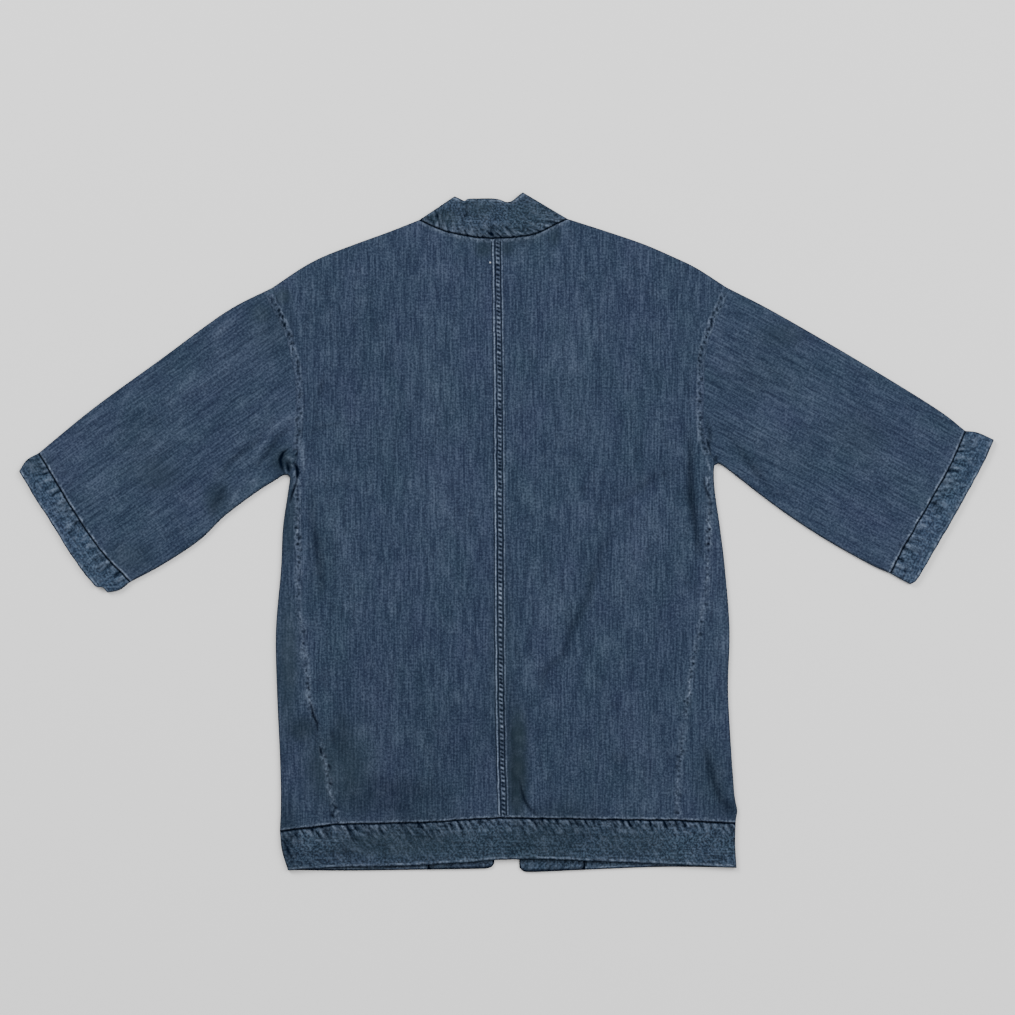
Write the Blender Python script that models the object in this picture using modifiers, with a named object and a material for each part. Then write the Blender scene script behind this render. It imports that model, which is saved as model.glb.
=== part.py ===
"""Denim kimono jacket, laid flat on its front with its back upward.

Ten cut and sewn pieces: two back panels, two front panels that wrap round the side folds to
the back, two sleeves, two cuffs, one neckband that runs round the neck and down both front
edges, and one hem band. Each piece is a wall of cloth. The lower sheet lies on the surface,
the upper sheet lies above it, and both are joined by a rounded fold along the outline.
+Z is up, +Y points to the neck, and the wearer's left is at -X.
"""

import bmesh
import bpy
import numpy as np
from mathutils import Vector

MM = 0.001  # every size and place below is in millimetres

# Driving dimensions
PANEL_WALL = 1.2  # one layer of 12 oz denim
BAND_WALL = 2.0  # bands and cuffs are doubled cloth
STACK = 5.0  # height of both sheets, with the air between them
FOLD_REACH = 3.0  # how far in from the outline a fold is rounded
FOLD_STEPS = (0.0, 0.9, FOLD_REACH)  # distances from the outline that carry the rounding
SEAM_HALF = 0.17  # half of the gap between two pieces at a seam
NECK_CORNER = 1.8  # how far the thick neckband stays back where it folds at the shoulder seam
FOLD_TAIL = (0.0, 5.0, 14.0)  # last rows of a side fold, below the underarm
SEAM_TAIL = (0.0, 11.0, 22.0)  # last rows of a side seam, below its top
NECK_STEPS = (0.0, FOLD_REACH)  # rounding of the neck seam where it reaches the shoulder
BAND_RISE = 0.7  # how far a doubled band stands above a single panel
LAP_RISE = 0.6  # how far a felled seam stands up
CENTRE_LAP = 12.0  # width of the felled centre back seam
SEAM_LAP = 5.0  # width of the raised ridge on each side of the other seams
LAP_SHOULDER = 1.2  # width over which a raised lap falls back to the panel
EDGE_WALL = 0.9  # upright part of a panel's edge at the shoulder seam, on top of the fold
ON_OUTLINE = 0.03  # points closer to the outline than this lie on it
WELD = 0.02  # corners of two sheets closer than this become one

# Numbers of rows and columns of faces
NECK_COLUMNS = 6
SHOULDER_COLUMNS = 8
SIDE_ROWS = 14
ARMHOLE_ROWS = 8
SLEEVE_ROWS = 12
CUFF_ROWS = 2
BAND_ROWS = 14
BAND_COLUMNS = 3
BAND_END_ROWS = 1
HEM_ROWS = 2
HEM_FRONT_COLUMNS = 6
HEM_WRAP_COLUMNS = 3
HEM_BACK_COLUMNS = 9

# Corners that several seams share: x, y
HEM_CENTRE = (-9.4, -343.0)
NECK_CENTRE = (-17.4, 352.2)
CORNERS = {
    "left": {
        "neck": (-104.4, 374.4), "peak": (-62.4, 402.6), "shoulder": (-280.2, 293.4),
        "underarm": (-262.6, 68.3), "side_top": (-252.5, 86.5),
        "cuff_top": (-561.0, 94.8), "cuff_base": (-451.2, -60.0),
        "edge_top": (-584.4, 73.2), "edge_base": (-478.0, -72.6),
        "hem_fold": (-271.8, -358.8), "foot_fold": (-262.2, -405.6),
        "hem_side": (-202.2, -350.4),
        "hem_band": (-95.4, -358.8), "foot_band": (-94.2, -405.0), "foot_edge": (-13.8, -403.2),
    },
    "right": {
        "neck": (73.2, 375.6), "peak": (19.8, 407.4), "shoulder": (264.0, 293.4),
        "underarm": (251.8, 81.2), "side_top": (241.0, 98.0),
        "cuff_top": (550.2, 121.4), "cuff_base": (460.3, -49.8),
        "edge_top": (584.4, 110.8), "edge_base": (484.2, -62.8),
        "hem_fold": (274.8, -349.2), "foot_fold": (276.0, -402.6),
        "hem_side": (204.6, -345.6),
        "hem_band": (93.6, -358.8), "foot_band": (94.2, -405.2), "foot_edge": (16.8, -407.4),
    },
}

# Lines between two corners: first corner, last corner, the points between them as x, y
LINES = {
    "left": {
        "shoulder": ("neck", "shoulder",
                     ((-141.0, 360.0), (-180.6, 345.6), (-217.8, 331.2), (-245.4, 316.8))),
        "neck_fold": ("neck", "peak", ()),
        "sleeve_top": ("shoulder", "cuff_top", ((-336.6, 264.0), (-415.8, 206.4), (-495.0, 148.8))),
        "sleeve_base": ("underarm", "cuff_base",
                        ((-267.7, 68.0), (-276.6, 62.4), (-299.4, 48.0), (-337.8, 19.2),
                         (-367.8, -9.6), (-411.0, -38.4))),
        "cuff_top": ("cuff_top", "edge_top", ((-575.4, 86.4),)),
        "cuff_base": ("cuff_base", "edge_base", ((-464.0, -69.6),)),
        "cuff_seam": ("cuff_top", "cuff_base", ((-543.7, 66.5), (-517.7, 23.5), (-485.2, -23.4))),
        "cuff_edge": ("edge_top", "edge_base",
                      ((-563.3, 37.8), (-543.7, 7.9), (-523.0, -25.9), (-497.0, -60.0))),
        "armhole": ("shoulder", "side_top",
                    ((-270.6, 266.4), (-259.8, 242.4), (-251.4, 216.0), (-246.6, 182.4),
                     (-245.4, 146.4), (-247.0, 116.4))),
        "underarm": ("side_top", "underarm", ()),
        "side_seam": ("hem_side", "side_top",
                      ((-217.8, -276.0), (-226.2, -237.6), (-235.8, -201.6), (-243.0, -129.6),
                       (-248.6, -81.6), (-249.6, -21.6), (-250.5, 38.4))),
        "side_fold": ("hem_fold", "underarm",
                      ((-270.6, -321.6), (-271.8, -268.8), (-275.4, -189.6), (-276.6, -117.6),
                       (-270.6, -45.6), (-268.2, 4.8), (-262.4, 46.0), (-260.0, 63.6))),
        "hem_end": ("hem_fold", "foot_fold", ((-269.4, -382.0),)),
        "front_hem": ("hem_fold", "hem_band", ((-187.8, -359.4),)),
        "front_foot": ("foot_fold", "foot_band", ((-187.8, -406.2),)),
        "band_foot": ("foot_band", "foot_edge", ((-54.0, -404.4),)),
        "band_end": ("hem_band", "foot_band", ()),
        "band_seam": ("hem_band", "neck", ((-102.0, -100.0), (-109.0, 160.0))),
        "band_edge": ("foot_edge", "peak", ((-33.0, -100.0), (-50.0, 180.0))),
    },
    "right": {
        "shoulder": ("neck", "shoulder",
                     ((121.8, 360.0), (163.8, 345.6), (197.4, 331.2), (227.4, 316.8))),
        "neck_fold": ("neck", "peak", ()),
        "sleeve_top": ("shoulder", "cuff_top", ((321.0, 264.0), (420.6, 206.4), (514.2, 148.8))),
        "sleeve_base": ("underarm", "cuff_base",
                        ((257.4, 80.6), (281.4, 62.4), (305.0, 44.0), (339.0, 19.2),
                         (383.4, -9.6), (435.0, -38.4))),
        "cuff_top": ("cuff_top", "edge_top", ((565.0, 119.4),)),
        "cuff_base": ("cuff_base", "edge_base", ((471.0, -55.9),)),
        "cuff_seam": ("cuff_top", "cuff_base", ((530.9, 77.3), (509.4, 39.0), (475.8, -19.2))),
        "cuff_edge": ("edge_top", "edge_base",
                      ((570.6, 80.4), (544.7, 32.9), (521.6, -7.0), (494.0, -54.0))),
        "armhole": ("shoulder", "side_top",
                    ((252.6, 271.2), (243.0, 248.4), (235.8, 224.4), (232.2, 200.4),
                     (231.0, 170.4), (231.0, 140.4), (233.6, 114.0))),
        "underarm": ("side_top", "underarm", ()),
        "side_seam": ("hem_side", "side_top",
                      ((205.8, -297.6), (213.0, -230.4), (225.0, -147.6), (233.4, -105.6),
                       (239.6, -61.2), (241.8, -21.6), (242.6, 26.4))),
        "side_fold": ("hem_fold", "underarm",
                      ((275.4, -326.4), (270.6, -268.8), (265.2, -189.6), (267.0, -117.6),
                       (262.2, -45.6), (256.2, 4.8), (249.8, 50.0), (248.9, 76.4))),
        "hem_end": ("hem_fold", "foot_fold", ((274.4, -375.0),)),
        "front_hem": ("hem_fold", "hem_band", ((186.0, -354.6),)),
        "front_foot": ("foot_fold", "foot_band", ((186.6, -401.8),)),
        "band_foot": ("foot_band", "foot_edge", ((46.2, -406.8),)),
        "band_end": ("hem_band", "foot_band", ()),
        "band_seam": ("hem_band", "neck", ((92.0, -100.0), (84.0, 160.0))),
        "band_edge": ("foot_edge", "peak", ((14.0, -100.0), (11.0, 180.0))),
    },
}

# Points between the corners on the lines that cross the back
NECK_HALF = {
    "left": ((-36.0, 353.5), (-63.5, 358.1), (-86.5, 365.8)),
    "right": ((10.0, 353.5), (33.0, 357.4), (48.2, 363.5), (63.5, 371.2)),
}
HEM_HALF = {
    "left": ((-43.8, -344.8), (-91.8, -348.0), (-163.8, -349.6)),
    "right": ((40.2, -343.6), (112.2, -344.8)),
}
HEM_WRAP = {"left": ((-235.8, -355.2),), "right": ((232.2, -347.6),)}
CENTRE_SEAM = ((-12.6, -225.6), (-13.8, -33.6), (-15.0, 182.4))
NECKBAND_TOP = ((-48.6, 396.4), (-36.0, 399.6), (-11.4, 399.4), (3.0, 395.8))
BACK_FOOT = ((-198.6, -402.0), (-103.8, -399.6), (-31.8, -394.8), (-11.4, -393.0),
             (40.2, -392.4), (100.2, -394.4), (196.2, -398.4))

# Largest folds of the upper sheet: start x, y, end x, y, half width, height (below 0: trough)
FOLDS = (
    (198.6, 72.0, 160.2, 52.8, 13.0, -0.9),
    (160.2, 52.8, 112.2, 26.4, 13.0, -0.8),
    (126.6, 0.0, 102.6, -57.6, 14.0, -1.0),
    (102.6, -57.6, 78.6, -115.2, 14.0, -0.9),
    (78.6, -115.2, 43.8, -171.6, 14.0, -0.9),
    (168.0, 16.0, 138.0, -70.0, 20.0, 0.9),
    (62.0, -60.0, 50.0, -104.0, 16.0, 0.9),
    (220.2, 110.4, 221.4, 38.4, 9.0, -1.0),
    (221.4, 38.4, 233.4, -28.8, 9.0, -0.9),
    (-233.4, 50.4, -227.4, -15.6, 11.0, -0.8),
    (-227.4, -15.6, -222.6, -79.2, 11.0, -0.9),
    (-200.0, 30.0, -188.0, -80.0, 16.0, 0.7),
    (-96.0, 210.0, -76.0, 20.0, 22.0, 0.7),
    (70.0, 250.0, 84.0, 120.0, 22.0, 0.7),
    (5.4, -190.0, 9.0, -330.0, 8.0, -0.8),
    (-160.0, -190.0, -150.0, -270.0, 18.0, 0.7),
    (-150.0, -310.0, -96.0, -316.0, 16.0, -0.7),
    (150.0, -220.0, 176.0, -320.0, 18.0, 0.8),
    (237.0, -255.6, 256.2, -319.2, 10.0, -0.8),
    (-253.8, 136.8, -303.0, 92.4, 9.0, 1.0),
    (-289.8, 115.2, -341.4, 68.4, 9.0, -0.9),
    (-259.8, 124.8, -299.4, 76.8, 7.0, -0.8),
    (-336.6, 56.4, -353.4, 18.0, 11.0, -0.9),
    (-319.8, 50.4, -334.2, 28.8, 11.0, 0.9),
    (-300.0, 226.0, -400.0, 160.0, 18.0, 0.8),
    (-400.0, 120.0, -500.0, 48.0, 16.0, 0.8),
    (262.0, 200.0, 380.0, 160.0, 18.0, 0.8),
    (262.2, 120.0, 300.6, 68.4, 10.0, -0.9),
    (300.6, 68.4, 328.2, 38.4, 10.0, -0.8),
    (300.0, 124.0, 352.0, 84.0, 13.0, 0.8),
    (390.0, 130.0, 488.0, 62.0, 16.0, 0.8),
)
FOLD_FADE = 14.0  # a fold dies out over this distance before the outline

# Linear base colours of the washed indigo cloth
DENIM_BACK = (0.036, 0.064, 0.105, 1.0)
DENIM_FRONT = (0.034, 0.060, 0.098, 1.0)
DENIM_SLEEVE = (0.038, 0.066, 0.107, 1.0)
DENIM_BAND = (0.031, 0.053, 0.086, 1.0)
DENIM_ROUGHNESS = 0.85

SIDES = ("left", "right")


class Path:
    """A smooth line through a few points, read by its distance from the start."""

    SAMPLES = 24

    def __init__(self, points):
        knots = np.array(points, dtype=float)
        if len(knots) > 2:
            before, after = 2 * knots[0] - knots[1], 2 * knots[-1] - knots[-2]
            knots = np.vstack([before, knots, after])
            t = np.linspace(0.0, 1.0, self.SAMPLES, endpoint=False)[:, None]
            spans = [self.span(*knots[i:i + 4], t) for i in range(len(knots) - 3)]
            self.points = np.vstack(spans + [knots[-2][None]])
        else:
            t = np.linspace(0.0, 1.0, self.SAMPLES + 1)[:, None]
            self.points = knots[0] + (knots[1] - knots[0]) * t
        steps = np.linalg.norm(np.diff(self.points, axis=0), axis=1)
        self.reach = np.concatenate([[0.0], np.cumsum(steps)])
        self.length = self.reach[-1]

    @staticmethod
    def span(a, b, c, d, t):
        """The cubic between b and c whose slopes come from a and d."""
        return 0.5 * (2 * b + (c - a) * t + (2 * a - 5 * b + 4 * c - d) * t ** 2
                      + (3 * b - a - 3 * c + d) * t ** 3)

    def at(self, distances):
        """Points at these distances from the start."""
        return np.column_stack([np.interp(distances, self.reach, self.points[:, k])
                                for k in (0, 1)])

    def stations(self, count, head=(0.0,), tail=(0.0,)):
        """Points at the head marks, evenly between, and at the tail marks from the end."""
        first, last = max(head), self.length - max(tail)
        between = np.linspace(first, last, count + 1)[1:-1]
        return self.at(np.concatenate([sorted(head), between,
                                       sorted(self.length - np.array(tail))]))


def line(side, name):
    """The named line of one side, as a Path."""
    first, last, between = LINES[side][name]
    return Path([CORNERS[side][first], *between, CORNERS[side][last]])


def across_back(side, half, centre, corner):
    """The line from the centre seam to a corner of one side."""
    return Path([centre, *half[side], CORNERS[side][corner]])


def joined(*runs):
    """Several runs of stations end to end, with each shared corner kept once."""
    return np.vstack([runs[0]] + [run[1:] for run in runs[1:]])


OUTLINE_LINES = ("shoulder", "neck_fold", "sleeve_top", "cuff_top", "sleeve_base", "cuff_base",
                 "side_fold", "hem_end")
OUTLINE = [line(side, name).points for side in SIDES for name in OUTLINE_LINES]


def distance_to(points, start, end):
    """Distance of each point from the segment between start and end."""
    along = end - start
    share = np.clip((points - start) @ along / max(along @ along, 1e-9), 0.0, 1.0)
    return np.linalg.norm(points - start - share[:, None] * along, axis=1)


def outline_distance(points):
    """Distance of each point from the nearest folded outline."""
    nearest = np.full(len(points), np.inf)
    for run in OUTLINE:
        for start, end in zip(run[:-1], run[1:]):
            nearest = np.minimum(nearest, distance_to(points, start, end))
    return np.where(nearest < ON_OUTLINE, 0.0, nearest)


def fold_height(points, outline):
    """Height that the largest folds add to the upper sheet."""
    total = np.zeros(len(points))
    for x0, y0, x1, y1, half_width, height in FOLDS:
        gap = distance_to(points, np.array((x0, y0)), np.array((x1, y1)))
        total += height * np.exp(-(gap / half_width) ** 2)
    return total * np.clip((outline - FOLD_REACH) / FOLD_FADE, 0.0, 1.0)


def sheet_points(plan, upper, rise=0.0, lap=None):
    """Lift a grid of plan points to the lower or the upper sheet.

    plan is a rows x columns x 2 array. rise raises the whole upper sheet of a doubled band, and
    lap is the height of a raised seam at each grid point.
    """
    rows, columns, _ = plan.shape
    flat = plan.reshape(-1, 2)
    outline = outline_distance(flat)
    inside = 1.0 - np.clip(outline / FOLD_REACH, 0.0, 1.0)
    arc = np.sqrt(1.0 - inside ** 2)
    middle = STACK / 2
    if upper:
        height = middle + (middle + rise) * arc + fold_height(flat, outline)
        if lap is not None:
            height += lap.reshape(-1) * arc
    else:
        height = middle * (1.0 - arc)
    return np.column_stack([flat, height]).reshape(rows, columns, 3)


def loft(bottom, top, left, right):
    """Fill four lines of stations with a grid: rows run from bottom to top."""

    def share(first, second):
        spans = [np.linalg.norm(np.diff(run, axis=0), axis=1) for run in (first, second)]
        marks = [np.concatenate([[0.0], np.cumsum(span)]) / span.sum() for span in spans]
        return (marks[0] + marks[1]) / 2

    u = share(bottom, top)[None, :, None]
    v = share(left, right)[:, None, None]
    sides = left[:, None] * (1 - u) + right[:, None] * u
    ends = bottom[None] * (1 - v) + top[None] * v
    corners = ((bottom[0] * (1 - u) + bottom[-1] * u) * (1 - v)
               + (top[0] * (1 - u) + top[-1] * u) * v)
    return sides + ends - corners


def ruled(left, right, marks):
    """Straight rows from left to right, with columns at these distances from the right end."""
    rows = []
    for start, end in zip(left, right):
        width = np.linalg.norm(start - end)
        gaps = [width, (width + max(marks)) / 2, *sorted(marks, reverse=True)]
        rows.append([end + (start - end) * gap / width for gap in gaps])
    return np.array(rows)


def pulled_in(plan, edges):
    """Move the named edges of a grid inward by half a seam gap."""
    moved = plan.copy()
    reach = {"bottom": (0, 1), "top": (-1, -2)}
    for edge, (outer, inner) in reach.items():
        if edge in edges:
            step = plan[inner] - plan[outer]
            moved[outer] += SEAM_HALF * step / np.linalg.norm(step, axis=1)[:, None]
    reach = {"left": (0, 1), "right": (-1, -2)}
    for edge, (outer, inner) in reach.items():
        if edge in edges:
            step = plan[:, inner] - plan[:, outer]
            moved[:, outer] += SEAM_HALF * step / np.linalg.norm(step, axis=1)[:, None]
    return moved


def add_sheet(mesh, points, upper):
    """Add a grid of faces to a bmesh, with their normals up or down."""
    rows, columns, _ = points.shape
    verts = [[mesh.verts.new(Vector(point) * MM) for point in row] for row in points]
    a, b, c = points[0, 0], points[0, -1], points[-1, 0]
    counter = np.cross(b[:2] - a[:2], c[:2] - a[:2]) > 0
    for i in range(rows - 1):
        for j in range(columns - 1):
            corners = [verts[i][j], verts[i][j + 1], verts[i + 1][j + 1], verts[i + 1][j]]
            mesh.faces.new(corners if counter == upper else corners[::-1])


def new_piece(name, sheets, wall, colour, collection):
    """Weld the sheets of one piece and give them the thickness of the cloth."""
    mesh = bmesh.new()
    for points, upper in sheets:
        add_sheet(mesh, points, upper)
    bmesh.ops.remove_doubles(mesh, verts=mesh.verts, dist=WELD * MM)
    data = bpy.data.meshes.new(name)
    mesh.to_mesh(data)
    mesh.free()
    data.shade_smooth()
    piece = bpy.data.objects.new(name, data)
    collection.objects.link(piece)
    solidify = piece.modifiers.new("Cloth wall", "SOLIDIFY")
    solidify.thickness = wall * MM
    solidify.offset = -1.0
    solidify.use_quality_normals = True
    material = bpy.data.materials.new(name + "_denim")
    material.use_nodes = True
    shader = material.node_tree.nodes["Principled BSDF"]
    shader.inputs["Base Color"].default_value = colour
    shader.inputs["Roughness"].default_value = DENIM_ROUGHNESS
    shader.inputs["Metallic"].default_value = 0.0
    data.materials.append(material)
    return piece


def armhole_stations(side):
    """Stations down the armhole from the shoulder to the side seam."""
    return line(side, "armhole").stations(ARMHOLE_ROWS, head=FOLD_STEPS)


def underarm_stations(side):
    """Stations from the side seam to the underarm, where the body and the sleeve fold."""
    path = line(side, "underarm")
    middle = (path.length + FOLD_REACH) / 2
    return path.at(path.length - np.array([path.length, middle, *sorted(FOLD_STEPS)[::-1]]))


def side_fold_stations(side):
    """Stations up a side fold from the hem seam to the underarm."""
    return line(side, "side_fold").stations(SIDE_ROWS, tail=FOLD_TAIL)


def side_seam_stations(side):
    """Stations up a side seam, one for each station of the side fold."""
    return line(side, "side_seam").stations(SIDE_ROWS, tail=SEAM_TAIL)


def lap_marks(width):
    """Distances from a seam that carry its raised lap."""
    return (0.0, width, width + LAP_SHOULDER)


def raised_lap(plan, edge, width):
    """Lap height at each grid point, for a lap along an edge that is a row or a column."""
    gap = np.linalg.norm(plan - edge, axis=2)
    return LAP_RISE * np.clip((width + LAP_SHOULDER - gap) / LAP_SHOULDER, 0.0, 1.0)


def with_upright_edge(points, shoulder, up):
    """Add a row under the top edge, so that the edge stands upright along the shoulder seam."""
    guard = (points[-2] + points[-1]) / 2
    guard[shoulder] = points[-1, shoulder]
    guard[shoulder, 2] = STACK / 2 + up * EDGE_WALL
    edge = points[-1].copy()
    edge[shoulder, 2] = STACK / 2 + up * SEAM_HALF
    return np.concatenate([points[:-1], guard[None], edge[None]])


def back_panel(side):
    """Half of the back, from the centre seam to the armhole and the side seam."""
    neck = across_back(side, NECK_HALF, NECK_CENTRE, "neck")
    centre_marks = lap_marks(CENTRE_LAP) if side == "right" else (0.0,)
    neck = neck.stations(NECK_COLUMNS, head=centre_marks, tail=NECK_STEPS)
    top = joined(neck, line(side, "shoulder").stations(SHOULDER_COLUMNS,
                                                       tail=lap_marks(SEAM_LAP)))
    hem = across_back(side, HEM_HALF, HEM_CENTRE, "hem_side")
    inner = len(top) - len(centre_marks) - len(lap_marks(SEAM_LAP)) + 1
    bottom = hem.stations(inner, head=centre_marks, tail=lap_marks(SEAM_LAP))
    outer = joined(side_seam_stations(side), armhole_stations(side)[::-1])
    centre = Path([HEM_CENTRE, *CENTRE_SEAM, NECK_CENTRE])
    split = len(outer) - len(armhole_stations(side))
    level = np.interp(outer[split][1], centre.points[:, 1], centre.reach)
    lower = centre.at(np.linspace(0.0, level, split + 1))
    upper = centre.at(np.concatenate([np.linspace(level, centre.length - FOLD_REACH,
                                                  ARMHOLE_ROWS + 1),
                                      centre.length - np.array(sorted(FOLD_STEPS)[-2::-1])]))
    plan = pulled_in(loft(bottom, top, joined(lower, upper), outer), ("bottom", "left", "right"))
    shoulder = slice(len(neck) - 1, None)
    plan[-1, :len(neck) - 1] = pulled_in(plan, ("top",))[-1, :len(neck) - 1]
    lap = raised_lap(plan, plan[:, -1:], SEAM_LAP)
    if side == "right":
        lap = np.maximum(lap, raised_lap(plan, plan[:, :1], CENTRE_LAP))
    points = sheet_points(plan, True, lap=lap)
    return [(with_upright_edge(points, shoulder, 1.0), True)]


def front_panel(side):
    """One front: its lower sheet, the side fold, and the strip that wraps to the back."""
    side_fold = side_fold_stations(side)
    below = len(side_fold)
    shoulder = line(side, "shoulder").stations(SHOULDER_COLUMNS)
    outer = joined(side_fold, underarm_stations(side)[::-1], armhole_stations(side)[::-1])
    seam = line(side, "band_seam")
    level = np.interp(outer[below - 1][1], seam.points[:, 1], seam.reach)
    rest = outer[below - 1:]
    gaps = np.concatenate([[0.0], np.cumsum(np.linalg.norm(np.diff(rest, axis=0), axis=1))])
    inner = joined(seam.at(np.linspace(0.0, level, below)),
                   seam.at(level + gaps / gaps[-1] * (seam.length - level)))
    columns = SHOULDER_COLUMNS - len(FOLD_STEPS) + 1
    bottom = line(side, "front_hem").stations(columns, head=FOLD_STEPS)[::-1]
    lower = pulled_in(loft(bottom, shoulder, inner, outer), ("bottom", "left"))
    strip = ruled(side_seam_stations(side), side_fold, FOLD_STEPS)
    strip[-1] = underarm_stations(side)
    lap = raised_lap(strip, strip[:, :1], SEAM_LAP)
    strip = pulled_in(strip, ("bottom", "top", "left"))
    lower[:below, -1] = strip[:, -1]
    lower[below:, -1] = pulled_in(lower, ("right",))[below:, -1]
    points = with_upright_edge(sheet_points(lower, False), slice(None), -1.0)
    return [(points, False), (sheet_points(strip, True, lap=lap), True)]


def ring(tops, bases, first, last, pulled, rise=0.0, lap_width=0.0):
    """A flattened tube: its upper and lower sheets between the top fold and the base fold."""
    plan = pulled_in(loft(first, last, tops, bases), pulled)
    lap = raised_lap(plan, plan[:1], lap_width) if lap_width else None
    return [(sheet_points(plan, True, rise=rise, lap=lap), True),
            (sheet_points(plan, False), False)]


def sleeve(side):
    """A sleeve from the armhole to the cuff seam."""
    first = joined(armhole_stations(side), underarm_stations(side))
    last = line(side, "cuff_seam").stations(len(first) - 2 * len(FOLD_STEPS) + 1,
                                            head=FOLD_STEPS, tail=FOLD_STEPS)
    marks = lap_marks(SEAM_LAP)
    tops = line(side, "sleeve_top").stations(SLEEVE_ROWS, head=marks)
    bases = line(side, "sleeve_base").stations(SLEEVE_ROWS, head=marks)
    return ring(tops, bases, first, last, ("bottom", "top"), lap_width=SEAM_LAP)


def cuff(side):
    """A doubled cuff from its seam to the free edge."""
    first = line(side, "cuff_seam").stations(ARMHOLE_ROWS, head=FOLD_STEPS, tail=FOLD_STEPS)
    last = line(side, "cuff_edge").stations(ARMHOLE_ROWS, head=FOLD_STEPS, tail=FOLD_STEPS)
    tops = line(side, "cuff_top").stations(CUFF_ROWS)
    bases = line(side, "cuff_base").stations(CUFF_ROWS)
    return ring(tops, bases, first, last, ("bottom",), rise=BAND_RISE)


def corner_gap(seam, step):
    """How far the neckband's seam edge stays back, near the fold, from the shoulder corner."""
    back = NECK_CORNER * np.clip(1.0 - outline_distance(seam) / FOLD_REACH, 0.0, 1.0)
    return (back / np.linalg.norm(step, axis=1))[:, None] * step


def neckband():
    """One doubled band: up the left front, round the back of the neck, down the right front."""
    sheets = []
    for side in SIDES:
        foot = line(side, "band_foot").stations(BAND_COLUMNS)
        fold = line(side, "neck_fold").stations(BAND_COLUMNS)
        end = line(side, "band_end").stations(BAND_END_ROWS)[::-1]
        seam = joined(end, line(side, "band_seam").stations(BAND_ROWS, tail=FOLD_STEPS))
        edge = line(side, "band_edge").stations(BAND_ROWS + BAND_END_ROWS, tail=FOLD_STEPS)
        plan = pulled_in(loft(foot, fold, seam, edge), ("left",))
        plan[:, 0] += corner_gap(seam, plan[:, 1] - plan[:, 0])
        sheets.append((sheet_points(plan, False), False))
    halves = [across_back(side, NECK_HALF, NECK_CENTRE, "neck") for side in SIDES]
    neck = joined(halves[0].stations(NECK_COLUMNS, tail=FOLD_STEPS)[::-1],
                  halves[1].stations(NECK_COLUMNS, tail=FOLD_STEPS))
    corners = [CORNERS[side]["peak"] for side in SIDES]
    rim = Path([corners[0], *NECKBAND_TOP, corners[1]])
    edge = rim.stations(len(neck) - 2 * len(FOLD_STEPS) + 1, head=FOLD_STEPS, tail=FOLD_STEPS)
    ends = [line(side, "neck_fold").stations(BAND_COLUMNS) for side in SIDES]
    plan = pulled_in(loft(neck, edge, *ends), ("bottom",))
    plan[0] += corner_gap(neck, plan[1] - plan[0])
    sheets.append((sheet_points(plan, True, rise=BAND_RISE), True))
    return sheets


def hem_band():
    """One doubled band: from the left front edge band, across the back, to the right one."""
    sheets = []
    for side in SIDES:
        head = line(side, "front_hem").stations(HEM_FRONT_COLUMNS, head=FOLD_STEPS)
        foot = line(side, "front_foot").stations(HEM_FRONT_COLUMNS, head=FOLD_STEPS)
        fold = line(side, "hem_end").stations(HEM_ROWS)
        band = line(side, "band_end").stations(HEM_ROWS)
        plan = pulled_in(loft(head, foot, fold, band), ("bottom", "right"))
        sheets.append((sheet_points(plan, False), False))
    seams = []
    for side in SIDES:
        wrap = Path([CORNERS[side]["hem_fold"], *HEM_WRAP[side], CORNERS[side]["hem_side"]])
        half = across_back(side, HEM_HALF, HEM_CENTRE, "hem_side")
        run = joined(wrap.stations(HEM_WRAP_COLUMNS, head=FOLD_STEPS),
                     half.stations(HEM_BACK_COLUMNS)[::-1])
        seams.append(run if side == "left" else run[::-1])
    head = joined(*seams)
    corners = [CORNERS[side]["foot_fold"] for side in SIDES]
    rim = Path([corners[0], *BACK_FOOT, corners[1]])
    foot = rim.stations(len(head) - 2 * len(FOLD_STEPS) + 1, head=FOLD_STEPS, tail=FOLD_STEPS)
    ends = [line(side, "hem_end").stations(HEM_ROWS) for side in SIDES]
    plan = pulled_in(loft(head, foot, *ends), ("bottom",))
    sheets.append((sheet_points(plan, True, rise=BAND_RISE), True))
    return sheets


def clear_scene():
    """Remove every object that the open file holds."""
    for thing in list(bpy.data.objects):
        bpy.data.objects.remove(thing, do_unlink=True)


def build():
    """Make the ten pieces in their own collection."""
    clear_scene()
    garment = bpy.data.collections.new("denim_kimono_jacket")
    bpy.context.scene.collection.children.link(garment)
    for side in SIDES:
        new_piece("back_" + side, back_panel(side), PANEL_WALL, DENIM_BACK, garment)
        new_piece("front_" + side, front_panel(side), PANEL_WALL, DENIM_FRONT, garment)
        new_piece("sleeve_" + side, sleeve(side), PANEL_WALL, DENIM_SLEEVE, garment)
        new_piece("cuff_" + side, cuff(side), BAND_WALL, DENIM_BAND, garment)
    new_piece("neckband", neckband(), BAND_WALL, DENIM_BAND, garment)
    new_piece("hem_band", hem_band(), BAND_WALL, DENIM_BAND, garment)


build()
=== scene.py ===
"""Looks of a washed denim kimono jacket that lies flat on its front, with its back upward.

Sizes are in millimetres in the jacket's own frame: +Z up, +Y to the neck, and the wearer's left
at -X. Meshes are written in metres.
"""

import logging
import math
from collections.abc import Callable, Iterable
from dataclasses import dataclass, field
from enum import Enum

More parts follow.
